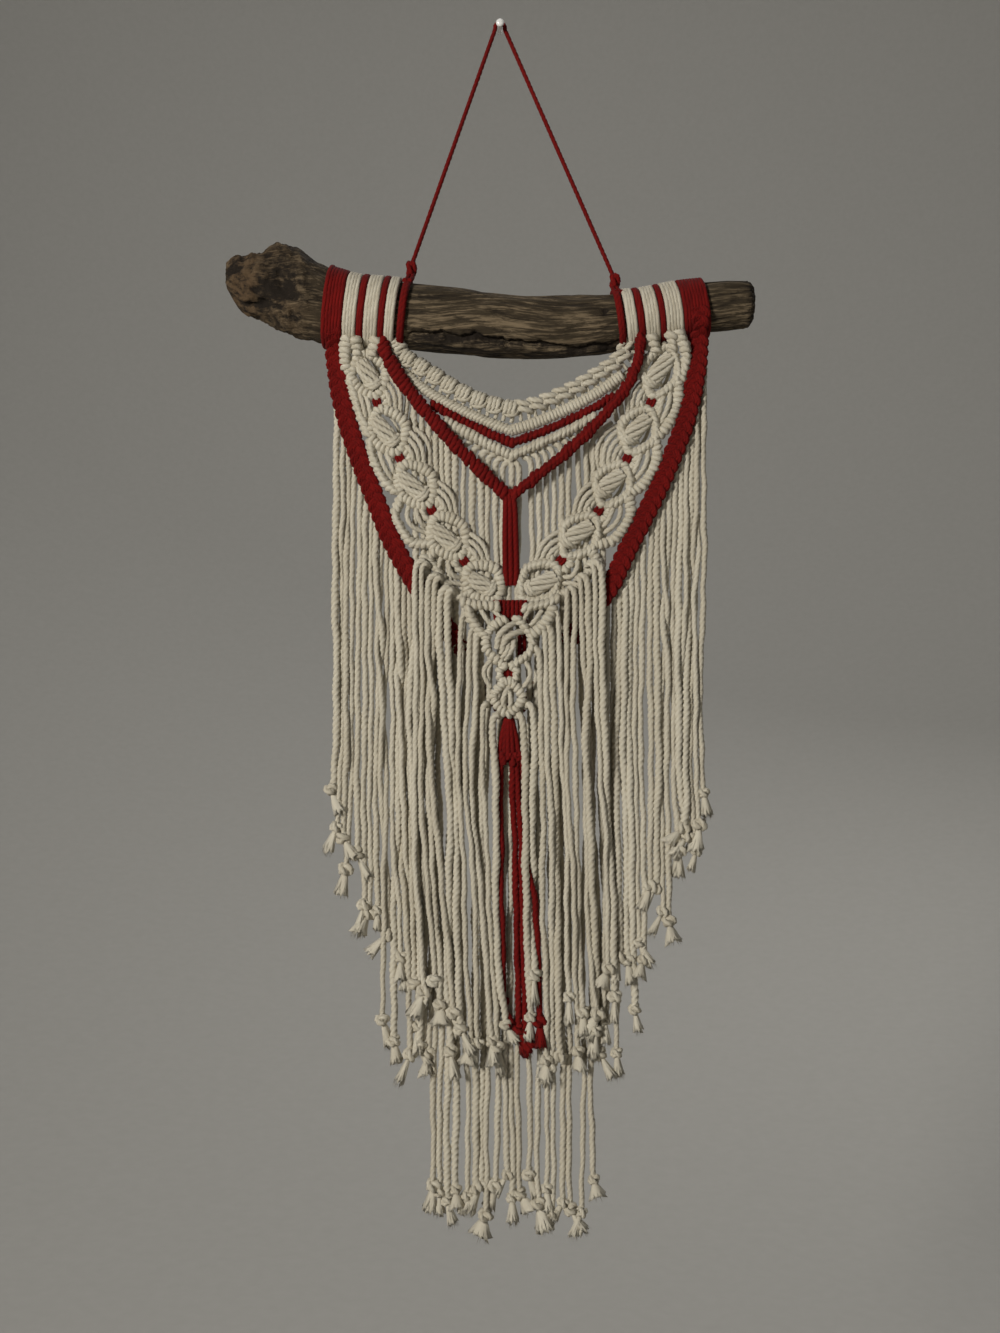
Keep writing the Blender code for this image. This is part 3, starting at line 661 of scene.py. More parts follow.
def make_strands():
    """Every strand's line, by the fringe's node."""
    chance = random.Random(7)
    hung = {}
    for node, (_piece, _colour, table, path, below, *depths) in FRINGES.items():
        hung[node] = [hanging(top, (edge_top(path, top) if path else root[1]) - below, middle, end, low,
                              *depths, chance) for *root, top, middle, end, low in table]
    lines = [line for group in hung.values() for line in bunched(group, chance)]
    apart = iter(push_apart(lines, CORD_RADIUS * NEAREST))
    return {node: [next(apart) for _line in group] for node, group in hung.items()}


strands = make_strands()
for node, lines in strands.items():
    print(node, len(lines), "strands,", round(sum(line_length(line) for line in lines) / 1000, 2), "m")

# %% [markdown]
# ## Shoulders
# A front strand doesn't start in mid-air. It comes out of the last hitch of its row, rises over the row's
# edge and falls, so its top is a small round shoulder. The curtain's strands come out under the white
# chevron in the same way. The shoulder is a few points put before the hanging line.

# %% Strands with their shoulders
def with_shoulder(root, line):
    """A short arch from a root point over to the top of a hanging line."""
    x, depth, z = root
    fall_x, fall_depth, fall_z = line[0]
    lift = 2.2 if z - fall_z < 12 else 1.0
    arch = [root, (x + (fall_x - x) * 0.35, max(depth, fall_depth) + 1.8, z + lift * 0.6),
            (x + (fall_x - x) * 0.85, fall_depth + 1.6, z - 1.2)]
    return smooth(arch + [line[2]] + list(line[4::3]) + [line[-1]], 2.5)


def from_under_chevron(top, line):
    """A curtain strand that comes out sideways from under the white chevron."""
    root_x = top + (4.4 if top < 5 else -4.4)
    edge = edge_top(CURTAIN_EDGE, root_x) - 2.9
    line = line[line[:, 2] < edge - 5.5]
    reach = line[0, 0] - root_x
    arch = [(root_x, 26.6, edge), (root_x + reach * 0.55, 27.8, edge - 0.9),
            (root_x + reach * 0.96, 27.4, edge - 3.4)]
    return smooth(arch + list(line[1::3]) + [line[-1]], 2.5)


for node, (_piece, _colour, table, *_rest) in FRINGES.items():
    for number, row in enumerate(table):
        if node == "fringe_curtain":
            strands[node][number] = from_under_chevron(row[0], strands[node][number])
        elif len(row) == 6:
            strands[node][number] = with_shoulder((row[0], 32.0, row[1]), strands[node][number])
    print(node, "now starts at z", round(max(line[:, 2].max() for line in strands[node]), 1))

# %% [markdown]
# ## Knotted ends
# Each strand ends in an overhand knot, and below it the plies are brushed out into a tuft. There are more
# than eighty of them, so four templates are modelled once: the knot is a cord along a trefoil, which is
# the line of a real overhand knot, and the tuft is a flared, ridged bundle with many loose fibres. A tree
# puts them at the strands' ends, each turned and sized a little differently.

# %% Templates of a knot and its tuft
TUFTS = [(10.0, 4.0), (12.0, 3.4), (8.5, 4.9), (9.0, 3.0)]      # length and spread
TUFT_SIDES, TUFT_RINGS, TUFT_FIBRES = 18, 5, 52
TUFT_RIDGE = 0.19
TUFT_FLATNESS = 0.62
KNOT_DROP = 2.6               # from a strand's last point to its tuft, in millimetres
templates = bpy.data.collections.new("templates")
tufts = bpy.data.collections.new("tufts")
for collection in (templates, tufts):
    bpy.context.scene.collection.children.link(collection)


def template(name, collection, meshes):
    """An object that trees copy. It is removed when they are done."""
    piece = bpy.data.objects.new(name, joined(meshes))
    collection.objects.link(piece)
    print(name, triangles(piece.data), "triangles")
    return piece


def trefoil(width, height):
    """The line of a tight overhand knot, about a middle at the origin, in millimetres."""
    return np.array([(width * (1.0 + 0.52 * math.cos(3 * t)) * math.cos(2 * t),
                      width * (1.0 + 0.52 * math.cos(3 * t)) * math.sin(2 * t), height * math.sin(3 * t))
                     for t in np.linspace(0.0, 2 * math.pi, 26, endpoint=False)])


def tuft(length, spread, seed):
    """A brushed-out end below the origin: a ridged bundle that flares, with loose fibres."""
    chance = random.Random(seed)
    sides, rings = TUFT_SIDES, TUFT_RINGS
    phase = [chance.uniform(-0.2, 0.2) for _side in range(sides)]
    reach = [chance.uniform(0.78, 1.12) for _side in range(sides)]
    places = []
    for ring in range(rings + 1):
        t = ring / rings
        radius = 1.5 + (spread - 1.5) * t ** 0.8
        for side in range(sides):
            angle = 2 * math.pi * (side + phase[side]) / sides + 0.5 * t
            ridge = 1.0 + (TUFT_RIDGE if side % 2 else -TUFT_RIDGE) * (0.4 + t)
            places.append((radius * ridge * math.cos(angle) * MM,
                           radius * ridge * math.sin(angle) * TUFT_FLATNESS * MM,
                           -length * t * (1.0 + (reach[side] - 1.0) * t) * MM))
    # closed by a point inside its foot and one above its top
    faces = ring_faces(rings + 1, sides)
    inside, top, last = len(places), len(places) + 1, rings * sides
    places += [(0.0, 0.0, -length * 0.8 * MM), (0.0, 0.0, 0.4 * MM)]
    for side in range(sides):
        after = (side + 1) % sides
        faces += [(last + side, inside, last + after), (after, top, side)]
    for _fibre in range(TUFT_FIBRES):
        angle = chance.uniform(0, 2 * math.pi)
        c, s = math.cos(angle), math.sin(angle)
        out = chance.uniform(0.55, 1.40)
        start = Vector((c * 1.3, s * 0.9, -length * chance.uniform(0.15, 0.55))) * MM
        end = Vector((c * spread * out, s * spread * out * 0.7, -length * chance.uniform(0.85, 1.28))) * MM
        half = Vector((-s, c, 0.0)) * 0.34 * MM
        a = len(places)
        places += [start + half, start - half, end, start - Vector((c, s, 0.0)) * 0.3 * MM]
        faces += [(a, a + 1, a + 2), (a + 1, a + 3, a + 2), (a + 3, a, a + 2), (a + 1, a, a + 3)]
    lay = np.array(places, np.float32) * (900, 900, 1000)
    # groove gives the whole tuft a little of the cotton's painted groove shade
    mesh = solid(places, faces, lay=lay, tone=0.25 + 0.2 * seed, groove=0.15)
    mesh.transform(Matrix.Translation((0.0, 0.0, -KNOT_DROP * MM)))
    return mesh


for number, (length, spread) in enumerate(TUFTS):
    knot = cords([(trefoil(1.85, 1.75), 1.55, True)], WHITE, number, Step=0.0015)
    template(f"knot_and_tuft_{number}", tufts, [knot, tuft(length, spread, number)])

# %% The tree that ends each strand
def make_end_tree():
    group, tree, start = geometry_tree("knotted_ends", Knots="Collection", Smallest=0.92, Largest=1.22,
                                       Seed=3, Material="Material")
    seed = start.out("Seed")
    shapes = tree.add("GeometryNodeCollectionInfo", Collection=start.out("Knots"),
                      Separate_Children=True, Reset_Children=True)
    upright = tree.add("FunctionNodeAlignRotationToVector", Vector=tree.named("hang", "FLOAT_VECTOR"),
                       settings={"axis": "Z"})
    size = tree.random(start.out("Smallest"), start.out("Largest"), seed)
    ends = tree.add("GeometryNodeInstanceOnPoints", Points=start, Instance=shapes, Pick_Instance=True,
                    Rotation=tree.turned(upright, Z=tree.random(0.0, 2 * math.pi, seed)),
                    Scale=tree.xyz(X=size, Y=size, Z=size))
    tree.end(ends, start.out("Material"))
    return group


end_tree = make_end_tree()


def knotted_ends(lines, colour, seed):
    """A knot and tuft below each line's last point, tilted a little its own way."""
    chance = random.Random(seed)
    hang = [Vector((chance.gauss(0, 0.38), chance.gauss(0, 0.14), 1.0)).normalized() for _line in lines]
    host = number_mesh([point(*line[-1]) for line in lines], hang=hang)
    return grown(end_tree, host, Knots=tufts, Seed=seed, Material=COTTON[colour])


# %% Every fringe as a piece
def kinked(line, chance):
    """A line with the small bends that a cord keeps from the hank, none at its top."""
    z = line[:, 2]
    share = np.clip((z[0] - z - 6.0) / 20.0, 0.0, 1.0)
    start, stretch = chance.uniform(0, FULL_TURN), chance.uniform(0.8, 1.25)
    bent = line.copy()
    bent[:, 0] += share * (0.24 * np.sin(start + z / (6.4 * stretch))
                           + 0.19 * np.sin(2.3 * start + z / (2.9 * stretch)))
    bent[:, 1] += share * 0.28 * np.sin(1.7 * start + z / (5.3 * stretch))
    return bent


for seed, (node, (piece, colour, *_rest)) in enumerate(FRINGES.items(), start=11):
    chance = random.Random(seed)
    lines = [kinked(line, chance) for line in strands[node]]
    uneven = []
    for line in lines:
        own, start = chance.choice((0.92, 1.0, 1.06, 1.20)), chance.uniform(0, FULL_TURN)
        swell = own + 0.07 * np.sin(start + line[:, 2] / 9.0) + 0.03 * np.sin(2 * start + line[:, 2] / 3.7)
        uneven.append((line, CORD_RADIUS * swell, False))
    add_piece(piece, colour, node, cords(uneven, colour, seed), knotted_ends(lines, colour, seed))

# %% [markdown]
# ## Hitches
# Everything between the rod and the fringe is rows of hitches: a cord is looped tightly over a carrier,
# again and again, and each loop shows as one slanted bead. There are hundreds, so a bead is made once, as
# a short fat arch of laid cord, and a tree sets it along a row at the pitch of the knots, turned to the
# row's run and leaning by the row's slant. The carrier runs inside, so no row is hollow.

# %% Bead templates
HITCH_SWEEP = 112.0           # degrees that a bead reaches round its carrier, to each side


def hitch(name, colour, half_width, bulge, radius, step):
    """One bead: an arch of cord across the row, which runs along x, with z towards the viewer."""
    angles = np.radians(np.linspace(-HITCH_SWEEP, HITCH_SWEEP, 9))
    line = np.stack([0.22 * half_width * np.sin(angles), -half_width * np.sin(angles),
                     bulge * np.cos(angles)], axis=1)
    mesh = cords([(line, radius * (0.80 + 0.20 * np.cos(angles * 0.75)), False)], colour, 5,
                 Step=step, Lay_Length=0.011)
    mesh.attributes.remove(mesh.attributes["tone"])
    return template(f"hitch_of_{name}", templates, [mesh])


# colour, pitch, then the bead's half width, bulge, cord radius and step
HITCHES = {
    "net": (WHITE, 2.75, 1.9, 1.25, 2.05, 0.0009),
    "white_chevron": (WHITE, 2.5, 1.95, 1.2, 1.95, 0.0009),
    "red_chevron": (RED, 2.6, 1.75, 1.2, 1.85, 0.0009),
    "rib": (WHITE, 1.95, 2.2, 1.35, 1.50, 0.0011),
    "inner_v": (RED, 2.9, 2.9, 1.3, 2.15, 0.00105),
}
BEADS = {name: hitch(name, colour, *sizes) for name, (colour, _pitch, *sizes) in HITCHES.items()}

# %% The tree that sets a bead along a row
def make_row_tree():
    group, tree, start = geometry_tree("hitched_row", Hitch="Object", Pitch=0.004, Uneven=0.10,
                                       Carrier=0.0012, Seed=1, Material="Material")
    lines = tree.points_along(start, start.out("Pitch"))
    facing = tree.add("FunctionNodeAlignRotationToVector", Vector=(0.0, -1.0, 0.0), settings={"axis": "Z"})
    facing = tree.add("FunctionNodeAlignRotationToVector", Rotation=facing,
                      Vector=tree.add("GeometryNodeInputTangent"), settings={"axis": "X", "pivot_axis": "Z"})
    size = tree.named("size")

    def uneven(share, seed):
        """A number about zero for each bead."""
        return tree.random(-1.0, 1.0, start.out("Seed") + seed) * (start.out("Uneven") * share)

    placed = tree.turned(facing, X=uneven(0.8, 1), Y=uneven(1.2, 2), Z=tree.named("slant") + uneven(1.6, 3))
    grow = tree.xyz(X=size * (uneven(0.9, 4) + 1.0), Y=size * (uneven(0.8, 5) + 1.0),
                    Z=size * (uneven(0.8, 6) + 1.0))
    shape = tree.add("GeometryNodeObjectInfo", Object=start.out("Hitch")).out("Geometry")
    beads = tree.add("GeometryNodeInstanceOnPoints", Points=lines, Instance=shape, Rotation=placed,
                     Scale=grow)
    beads = tree.store(beads, "tone", tree.random(0.0, 1.0, start.out("Seed")), domain="INSTANCE")
    ring = tree.add("GeometryNodeCurvePrimitiveCircle", Resolution=7, Radius=start.out("Carrier"))
    carrier = tree.add("GeometryNodeCurveToMesh", Curve=lines, Profile_Curve=ring, Scale=size,
                       Fill_Caps=True)
    tree.end(tree.add("GeometryNodeJoinGeometry", Geometry=[beads, carrier]), start.out("Material"))
    return group


row_tree = make_row_tree()


def hitched(rows, kind, seed, carrier=2.1, uneven=0.13):
    """Rows of hitches: each is its line, its depth, its slant in degrees, if it closes and its size."""
    colour, pitch, *_sizes = HITCHES[kind]
    paths, slants, sizes = [], [], []
    for line, depth, slant, closed, *ends in rows:
        line = [place if len(place) == 3 else (place[0], depth, place[1]) for place in line]
        path = smooth(line, 1.0, closed)
        paths.append((path, closed))
        slants += [math.radians(slant)] * len(path)
        sizes += list(np.interp(np.linspace(0, 1, len(path)), [0, 1], ends[0] if ends else (1.0, 1.0)))
    return grown(row_tree, line_mesh(paths, slant=slants, size=sizes), Hitch=BEADS[kind], Pitch=pitch * MM,
                 Seed=seed, Uneven=uneven, Carrier=carrier * MM, Material=COTTON[colour])


# %% [markdown]
# ## The net of rings
# Each wing is a chain of five rings. A ring is a rounded diamond of hitches with a woven pad inside it, and
# the chain's joints are small openings with red cord behind. Short free cords fan out on both sides of a
# joint, and a row of hitches beside the edging ties the outer side together. All of it is measured from
# the chain's joints: `u` runs down the wing and `v` towards the middle.

# %% Places on the net
NET_DEPTH = 29.4
NET_SLANT = 34.0
RING_HALF_WIDTH = 9.8
JOINT_HALF_LENGTH = 5.4
WING_JOINTS = {
    "left": [(-75, -182.8), (-66.4, -213.4), (-54, -243.7), (-36.7, -271.8), (-19.1, -299.3),
             (1.2, -321.5)],
    "right": [(91.8, -179.8), (81.5, -213.4), (68.6, -243.7), (53.2, -272), (32.9, -298.8),
              (9.6, -321.5)],
}


class Spot:
    """A place on the net with its own directions: u down the chain and v towards the middle."""

    def __init__(self, middle, down, inner, length=0.0):
        self.middle, self.down, self.inner, self.length = middle, down, inner, length

    def at(self, u, v, depth=None):
        x, z = self.middle + self.down * u + self.inner * v
        return (x, z) if depth is None else (x, depth, z)

    def through(self, places):
        return [self.at(u, v) for u, v in places]

    def turned(self, degrees, u, v):
        """The same spot with its directions turned, and moved by u and v."""
        c, s = math.cos(math.radians(degrees)), math.sin(math.radians(degrees))
        return Spot(np.array(self.at(u, v)), self.down * c + self.inner * s, self.inner * c - self.down * s)


def between(start, end, inward):
    """The spot halfway between two joints."""
    run = np.array(end) - np.array(start)
    length = float(np.linalg.norm(run))
    down = run / length
    return Spot(np.array(start) + run * 0.5, down, np.array([-down[1], down[0]]) * inward, length)


for side, joints in WING_JOINTS.items():
    print(side, "rings:", [round(between(a, b, 1).length, 1) for a, b in zip(joints, joints[1:])], "mm")


def rounded_diamond(spot, half_u, half_v, power=1.45):
    line = []
    for t in np.linspace(0, 2 * math.pi, 28, endpoint=False):
        c, s = math.cos(t), math.sin(t)
        line.append(spot.at(half_u * math.copysign(abs(c) ** (2 / power), c),
                            half_v * math.copysign(abs(s) ** (2 / power), s)))
    return line


# %% A ring's woven pad, and free cords
PAD_CORDS = 6
PAD_HALF_WIDTH = 5.2
PAD_RADIUS = 1.8
PAD_TWIST = -1.15             # radians from a pad's middle to its end


def pad(spot, half_length):
    """Cords twisted lightly round each other, swelling towards the viewer, with wraps at the lower end."""
    lines = []
    for number in range(PAD_CORDS):
        line = []
        for s in np.linspace(-1, 1, 11):
            turn = 2 * math.pi * (number + 0.25) / PAD_CORDS + PAD_TWIST * s
            swell = 1 - 0.34 * s * s
            line.append(spot.at(s * half_length, (PAD_HALF_WIDTH - PAD_RADIUS) * math.cos(turn) * swell,
                                NET_DEPTH + 1.3 + 1.7 * math.sin(turn) * swell))
        lines.append(laid(line, PAD_RADIUS, 1.2))
    for wrap in range(2):
        u = half_length * (0.66 + 0.20 * wrap)
        reach = PAD_HALF_WIDTH * (1.0 - 0.12 * wrap)
        lines.append(laid([spot.at(u - 2.0, -reach, NET_DEPTH - 0.5),
                           spot.at(u, -reach * 0.5, NET_DEPTH + 2.6),
                           spot.at(u + 0.8, reach * 0.2, NET_DEPTH + 3.0),
                           spot.at(u - 0.4, reach * 0.9, NET_DEPTH + 1.2)], PAD_RADIUS * 0.86, 1.2))
    return lines


def free_cord(spot, places, behind=-0.6, lift=1.4):
    """A cord that lies free between two rows, through places given as (u, v), with its ends tucked in."""
    last = len(places) - 1
    return laid([spot.at(u, v, NET_DEPTH - behind + lift * math.sin(math.pi * i / last)
                         - (1.4 if i in (0, last) else 0.0)) for i, (u, v) in enumerate(places)], 1.65)


# %% A wing
PAD_TURN = 17.0
PAD_SHIFT = {"left": (-0.4, -1.8, -1.8, -1.6, -1.4), "right": (0.8, 1.3, 1.5, 1.5, -1.4)}
# the free cords that fan out on a joint's inner side, and two more behind them near the rod, as u and v
FAN = [
    [(-6.8, 4.6), (-3, 6.6), (1.6, 6.8), (5.4, 5.4)],
    [(-10.4, 6.8), (-5, 9.6), (1, 10), (7.6, 7.8)],
    [(-13.5, 9.6), (-7, 12.6), (0.5, 13.2), (9.4, 9.8)],
]
FAN_BEHIND = [
    [(-15.5, 12), (-7, 16.4), (1.5, 16.8), (12, 11.6)],
    [(-15, 16), (-6, 20), (3.5, 20.2), (15, 13.4)],
]
FOOT_ROWS = {
    "left": [(-40.5, -297), (-35.1, -302.5), (-30.2, -310.1), (-25.9, -315), (-22.7, -318.7)],
    "right": [(51.5, -299), (48, -305.5), (42.4, -312.8), (37, -316), (33, -318.2)],
}
# where the net starts, under the bands' feet: x, depth, z
TOP_ROWS = {
    "left": [[(-82.4, 34, -180), (-83.2, 32.4, -186), (-83.4, 30, -192), (-81, 29.4, -200)],
             [(-77.6, 34, -180.8), (-77, 31.6, -186.6), (-77.6, 29.8, -190)],
             [(-66.8, 34, -181.2), (-68.6, 32, -187.4)]],
    "right": [[(96, 33.4, -177), (99, 32.4, -183), (100.4, 30, -190), (98, 29.4, -200)],
              [(92.4, 33.4, -178.2), (93, 31.6, -184)],
              [(81.8, 33.4, -179.4), (84, 31.6, -185.6)]],
}


def edge_distance(path, place):
    """How far a place is from the middle line of an edging."""
    line = smooth([(x, 0.0, z) for x, z in path], 1.0)
    return float(np.min(np.hypot(line[:, 0] - place[0], line[:, 2] - place[1])))


def ring_parts(ring, shift, lean):
    """A ring's row of hitches, its pad, and cords carried behind it, in shadow in its openings."""
    half = ring.length / 2 - JOINT_HALF_LENGTH + 0.9
    row = (rounded_diamond(ring, half + 0.8, RING_HALF_WIDTH), NET_DEPTH, lean, True)
    lines = pad(ring.turned(PAD_TURN if shift < 0 else PAD_TURN + 4, 0.2, shift * 1.15), half - 2.9)
    for v in (-5.0, 5.0):
        lines.append(laid([ring.at(-half, v * 0.5, 27.6), ring.at(0, v, 25.4), ring.at(half, v * 0.5, 27.6)],
                          1.1, 1.6))
    return row, lines


def joint_parts(spot, reach, lean, near_rod):
    """The rows and cords round a joint. The reach is how far its outer side goes towards the edging."""
    rows = [(spot.through([(-4.8, v * 2.9), (-2.0, v * 4.9), (2.0, v * 4.9), (4.8, v * 2.9)]), NET_DEPTH,
             lean * v, False, (0.86, 0.86)) for v in (-1, 1)]
    rows.append((spot.through([(-14.5, -10.4), (-9.0, reach * 0.93), (0.0, reach), (9.0, reach * 0.94),
                               (14.5, -10.4)]), NET_DEPTH, -lean, False))
    reds = [laid([spot.at(-5.8, v * 0.6, NET_DEPTH), spot.at(0, v, NET_DEPTH + 0.8),
                  spot.at(5.8, v * 0.6, NET_DEPTH)], 1.3) for v in (-1.5, 0.0, 1.5)]
    outer = [[(-10.0, -7.6), (-5.0, reach * 0.66), (1.5, reach * 0.70), (8.5, -8.8)],
             [(-7.0, -5.6), (-3.0, reach * 0.40), (2.5, reach * 0.44), (6.2, -6.4)]]
    lines = [free_cord(spot, places) for places in outer + FAN]
    if near_rod:
        lines += [free_cord(spot, places, behind) for places, behind in zip(FAN_BEHIND, (2, 4))]
    return rows, lines, reds


def wing_parts(side, inward):
    joints = WING_JOINTS[side]
    lean = NET_SLANT * inward
    rows, lines, reds = [], [], []
    for one, two, shift in zip(joints, joints[1:], PAD_SHIFT[side]):
        row, pad_lines = ring_parts(between(one, two, inward), shift, lean)
        rows.append(row)
        lines += pad_lines
    for number, (one, joint, two) in enumerate(zip(joints, joints[1:], joints[2:])):
        spot = between(one, two, inward)
        spot.middle = np.array(joint)
        reach = -edge_distance(EDGING[side], joint) + 7.2
        for whole, part in zip((rows, lines, reds), joint_parts(spot, reach, lean, number < 2)):
            whole += part
    rows.append((FOOT_ROWS[side], NET_DEPTH + 0.6, -lean, False))
    rows += [(line, NET_DEPTH, lean * 0.4, False, (1.18, 0.95)) for line in TOP_ROWS[side]]
    return rows, lines, reds


net_reds = []
for side, inward in (("left", 1), ("right", -1)):
    rows, lines, reds = wing_parts(side, inward)
    net_reds += reds
    add_piece(f"net_{side}", WHITE, f"wing_{side}", hitched(rows, "net", 21 + inward),
              cords(lines, WHITE, 23 + inward))
add_piece("net_joints_red", RED, None, cords(net_reds, RED, 27))

# %% [markdown]
# ## The drop
# Where the wings meet, two more rings hang in front of the fringe, the upper one larger. Their middles are
# a few cords laced over each other. Outside the upper ring a short row of hitches runs up to each wing.

# %% The drop's two rings
DROP_DEPTH = 35.2
FINE, THIN = (0.88, 0.84), (0.8, 0.8)
# rows of hitches: how far behind the drop's depth, slant, size at both ends, then the line
DROP_ROWS = [
    # the upper ring, as two rows that nearly meet at its top and cross at its foot
    (0, 34, FINE, [(2.6, -330.9), (-2.2, -333.2), (-6.2, -337.6), (-7.8, -342.8), (-6.8, -347.4),
                   (-2.8, -351.4), (2.6, -355.8)]),
    (0, -34, FINE, [(9.2, -330.4), (12, -333.4), (14.4, -336.4), (16.8, -340.4), (17, -344.8),
                    (15.4, -349), (11.4, -352.2), (6.4, -355.6)]),
    # between the rings
    (0, 30, THIN, [(2.2, -355.4), (-0.4, -358.2), (-0.4, -361), (1.6, -364.2)]),
    (0, -30, THIN, [(6.6, -355.2), (8.8, -358.2), (8.8, -361), (6.8, -364.2)]),
    # from the wings: a row inwards over the red, and one down beside the ring
    (1.6, 34, (1, 1), [(-19.6, -321.4), (-15.4, -322.8), (-9, -323.2), (-1.6, -323.8)]),
    (1.6, -34, (1, 1), [(30.6, -319.6), (25.4, -322.2), (20, -323.2), (13.4, -324.6)]),
    (0, -34, (1, 1), [(-16.6, -325.4), (-15.6, -330.2), (-12.4, -335.2), (-8.8, -338.4)]),
    (0, 34, (1, 1), [(28.2, -325), (26, -330), (22.4, -334.8), (18, -338)]),
]
# laid cords: radius, then x, how far in front of the drop's depth, and z
DROP_CORDS = [
    # free cords between those rows
    (1.6, [(-10.2, -1.4, -325.6), (-7.5, 0.6, -330.1), (-4.6, -0.6, -333.8)]),
    (1.5, [(-3.7, -1.4, -326), (0, -0.4, -329), (2.6, -1.4, -331)]),
    (1.6, [(22.4, -1.4, -326.2), (19.4, 0.6, -330.5), (16.4, -0.6, -334)]),
    (1.5, [(15.4, -1.4, -325.8), (13.6, -0.2, -329.4), (11.6, -1.4, -332)]),
    # the upper ring's middle: cords laced over each other, with a hole left at the right
    (1.95, [(8.6, -0.8, -332.4), (3, 2.4, -335.6), (-0.8, 2.4, -340), (-1.6, 0.6, -346.2)]),
    (1.95, [(13.4, -0.8, -337), (7, 2.5, -338.6), (2.6, 2.8, -342.2), (0.9, 0.4, -349)]),
    (1.75, [(7.2, -0.2, -341.4), (7.2, 2.2, -345.2), (4.9, 1.8, -349.2), (2.2, -0.8, -352.8)]),
    (1.6, [(4.4, 1.2, -344), (4.4, 2.4, -346.6), (2.6, 1.8, -349.6), (0.2, -0.6, -352)]),
    # the lower ring's leaf
    (1.75, [(2.8, -0.4, -378.8), (1.6, 1.8, -374.8), (2.8, 2.2, -370.4), (5.4, -0.2, -366.6)]),
    (1.65, [(5, -0.4, -378.8), (5.8, 1.8, -375.2), (5.4, 2, -371.2), (4, 0.2, -368)]),
    # loops down the sides between the two rings
    (1.6, [(-4.6, -0.6, -352.2), (-8.2, 0.4, -357), (-8.2, 0.4, -361.4), (-5, -0.6, -367.2)]),
    (1.6, [(13, -0.6, -352.6), (16, 0.4, -357.6), (15.8, 0.4, -362), (12.6, -0.6, -367.2)]),
]

rows = [(line, DROP_DEPTH - behind, slant, False, size) for behind, slant, size, line in DROP_ROWS]
lower_ring = rounded_diamond(between((4.2, -362.6), (4.2, -382.4), 1), 9.2, 8.2, 1.25)
rows.insert(2, (lower_ring, DROP_DEPTH, 34.0, True, (0.84, 0.84)))
lines = [laid([(x, DROP_DEPTH + out, z) for x, out, z in places], radius) for radius, places in DROP_CORDS]
add_piece("drop_rings", WHITE, "drop", hitched(rows, "net", 31), cords(lines, WHITE, 32))

# red cord shows in the gap between the rings, where the wings meet and behind the upper ring
reds = [laid([(x, DROP_DEPTH - 2.0, -354.6), (x + 0.2, DROP_DEPTH - 1.4, -359.6),
              (x, DROP_DEPTH - 2.0, -364.6)], 1.35) for x in (2.0, 4.2, 6.4)]
reds += [laid([(x, 31.6, -320.4), (x, 32.4, -325.4), (x, 31.4, -332.6)], 1.45)
         for x in np.arange(-2.4, 15.8, 2.3)]
reds += [laid([(x, 28.4, -336.0), (x + 0.4, 29.4, -343.0), (x, 28.4, -350.0)], 1.45) for x in (10.4, 12.8)]
add_piece("drop_reds", RED, None, cords(reds, RED, 33))

# %% [markdown]
# ## Neckline, chevrons and inner V
# Above the middle, the work hangs in curves from the rod: a row of square knots, a smooth rib under it,
# then a red and a white chevron, and the red inner V in front with its three loose strands. The knots are
# few and each shows its own cords, so they are laid cord by cord: on the left they stand across the row,
# on the right they lie along it. The rest is the row tree again, each row with its own bead.

# %% Curved rows
NECK_TOP = [(-55.5, -182.5), (-53, -186.8), (-48.5, -190.8), (-39, -196.1), (-29, -202.8),
            (-19, -208.4), (-7.5, -213.3), (5.5, -216.4), (20, -214), (40, -205.5),
            (53, -197.6), (60.5, -192.8), (66.5, -186.8), (68.5, -181.5)]
NECK_RIB = [(-52.5, -196), (-45, -202.9), (-35, -210), (-19.5, -218), (-5.5, -224.2),
            (6, -228.4), (20, -223.9), (40, -215), (54.5, -206.8), (65.5, -198.9)]
RED_CHEVRON = [(-36, -214.4), (-20, -223.3), (-6, -230), (6.5, -235), (20.5, -230),
               (36.5, -223.2), (51, -216), (60.5, -210.4)]
INNER_V_LEFT = [(-63.5, -181.5), (-61.6, -187), (-58, -194), (-51, -205), (-42, -216.5),
                (-31.5, -228.5), (-20.5, -240.5), (-8.5, -252.5), (2.2, -262.6)]
INNER_V_RIGHT = [(75.8, -179.5), (75, -185), (74, -192), (68.5, -205), (59.5, -217),
                 (48.5, -229), (35, -241.5), (21.5, -252.5), (8.2, -262.8)]
NECK_DEPTH = 29.2
INNER_DEPTH = 33.8


def halves(path):
    """A V-shaped path as two, each running from its top down to the lowest point."""
    lowest = min(range(len(path)), key=lambda number: path[number][1])
    return path[:lowest + 1], path[lowest:][::-1]


for name, path in (("neckline", NECK_TOP), ("rib", NECK_RIB), ("red chevron", RED_CHEVRON)):
    print(name, round(line_length(path)), "mm")


# %% A row of square knots
# the cords of one knot: along the row, across it, to the front, then the cord's radius
STANDING_KNOT = [([(shift - 0.3, -3.4, -0.8), (shift - 0.3, -3.2, 1), (shift, -1.7, 2.9), (shift, 1.7, 2.9),
                   (shift + 0.3, 3.1, 1.0), (shift + 0.3, 3.3, -0.8)], 1.75) for shift in (-2.15, 0.0, 2.15)]
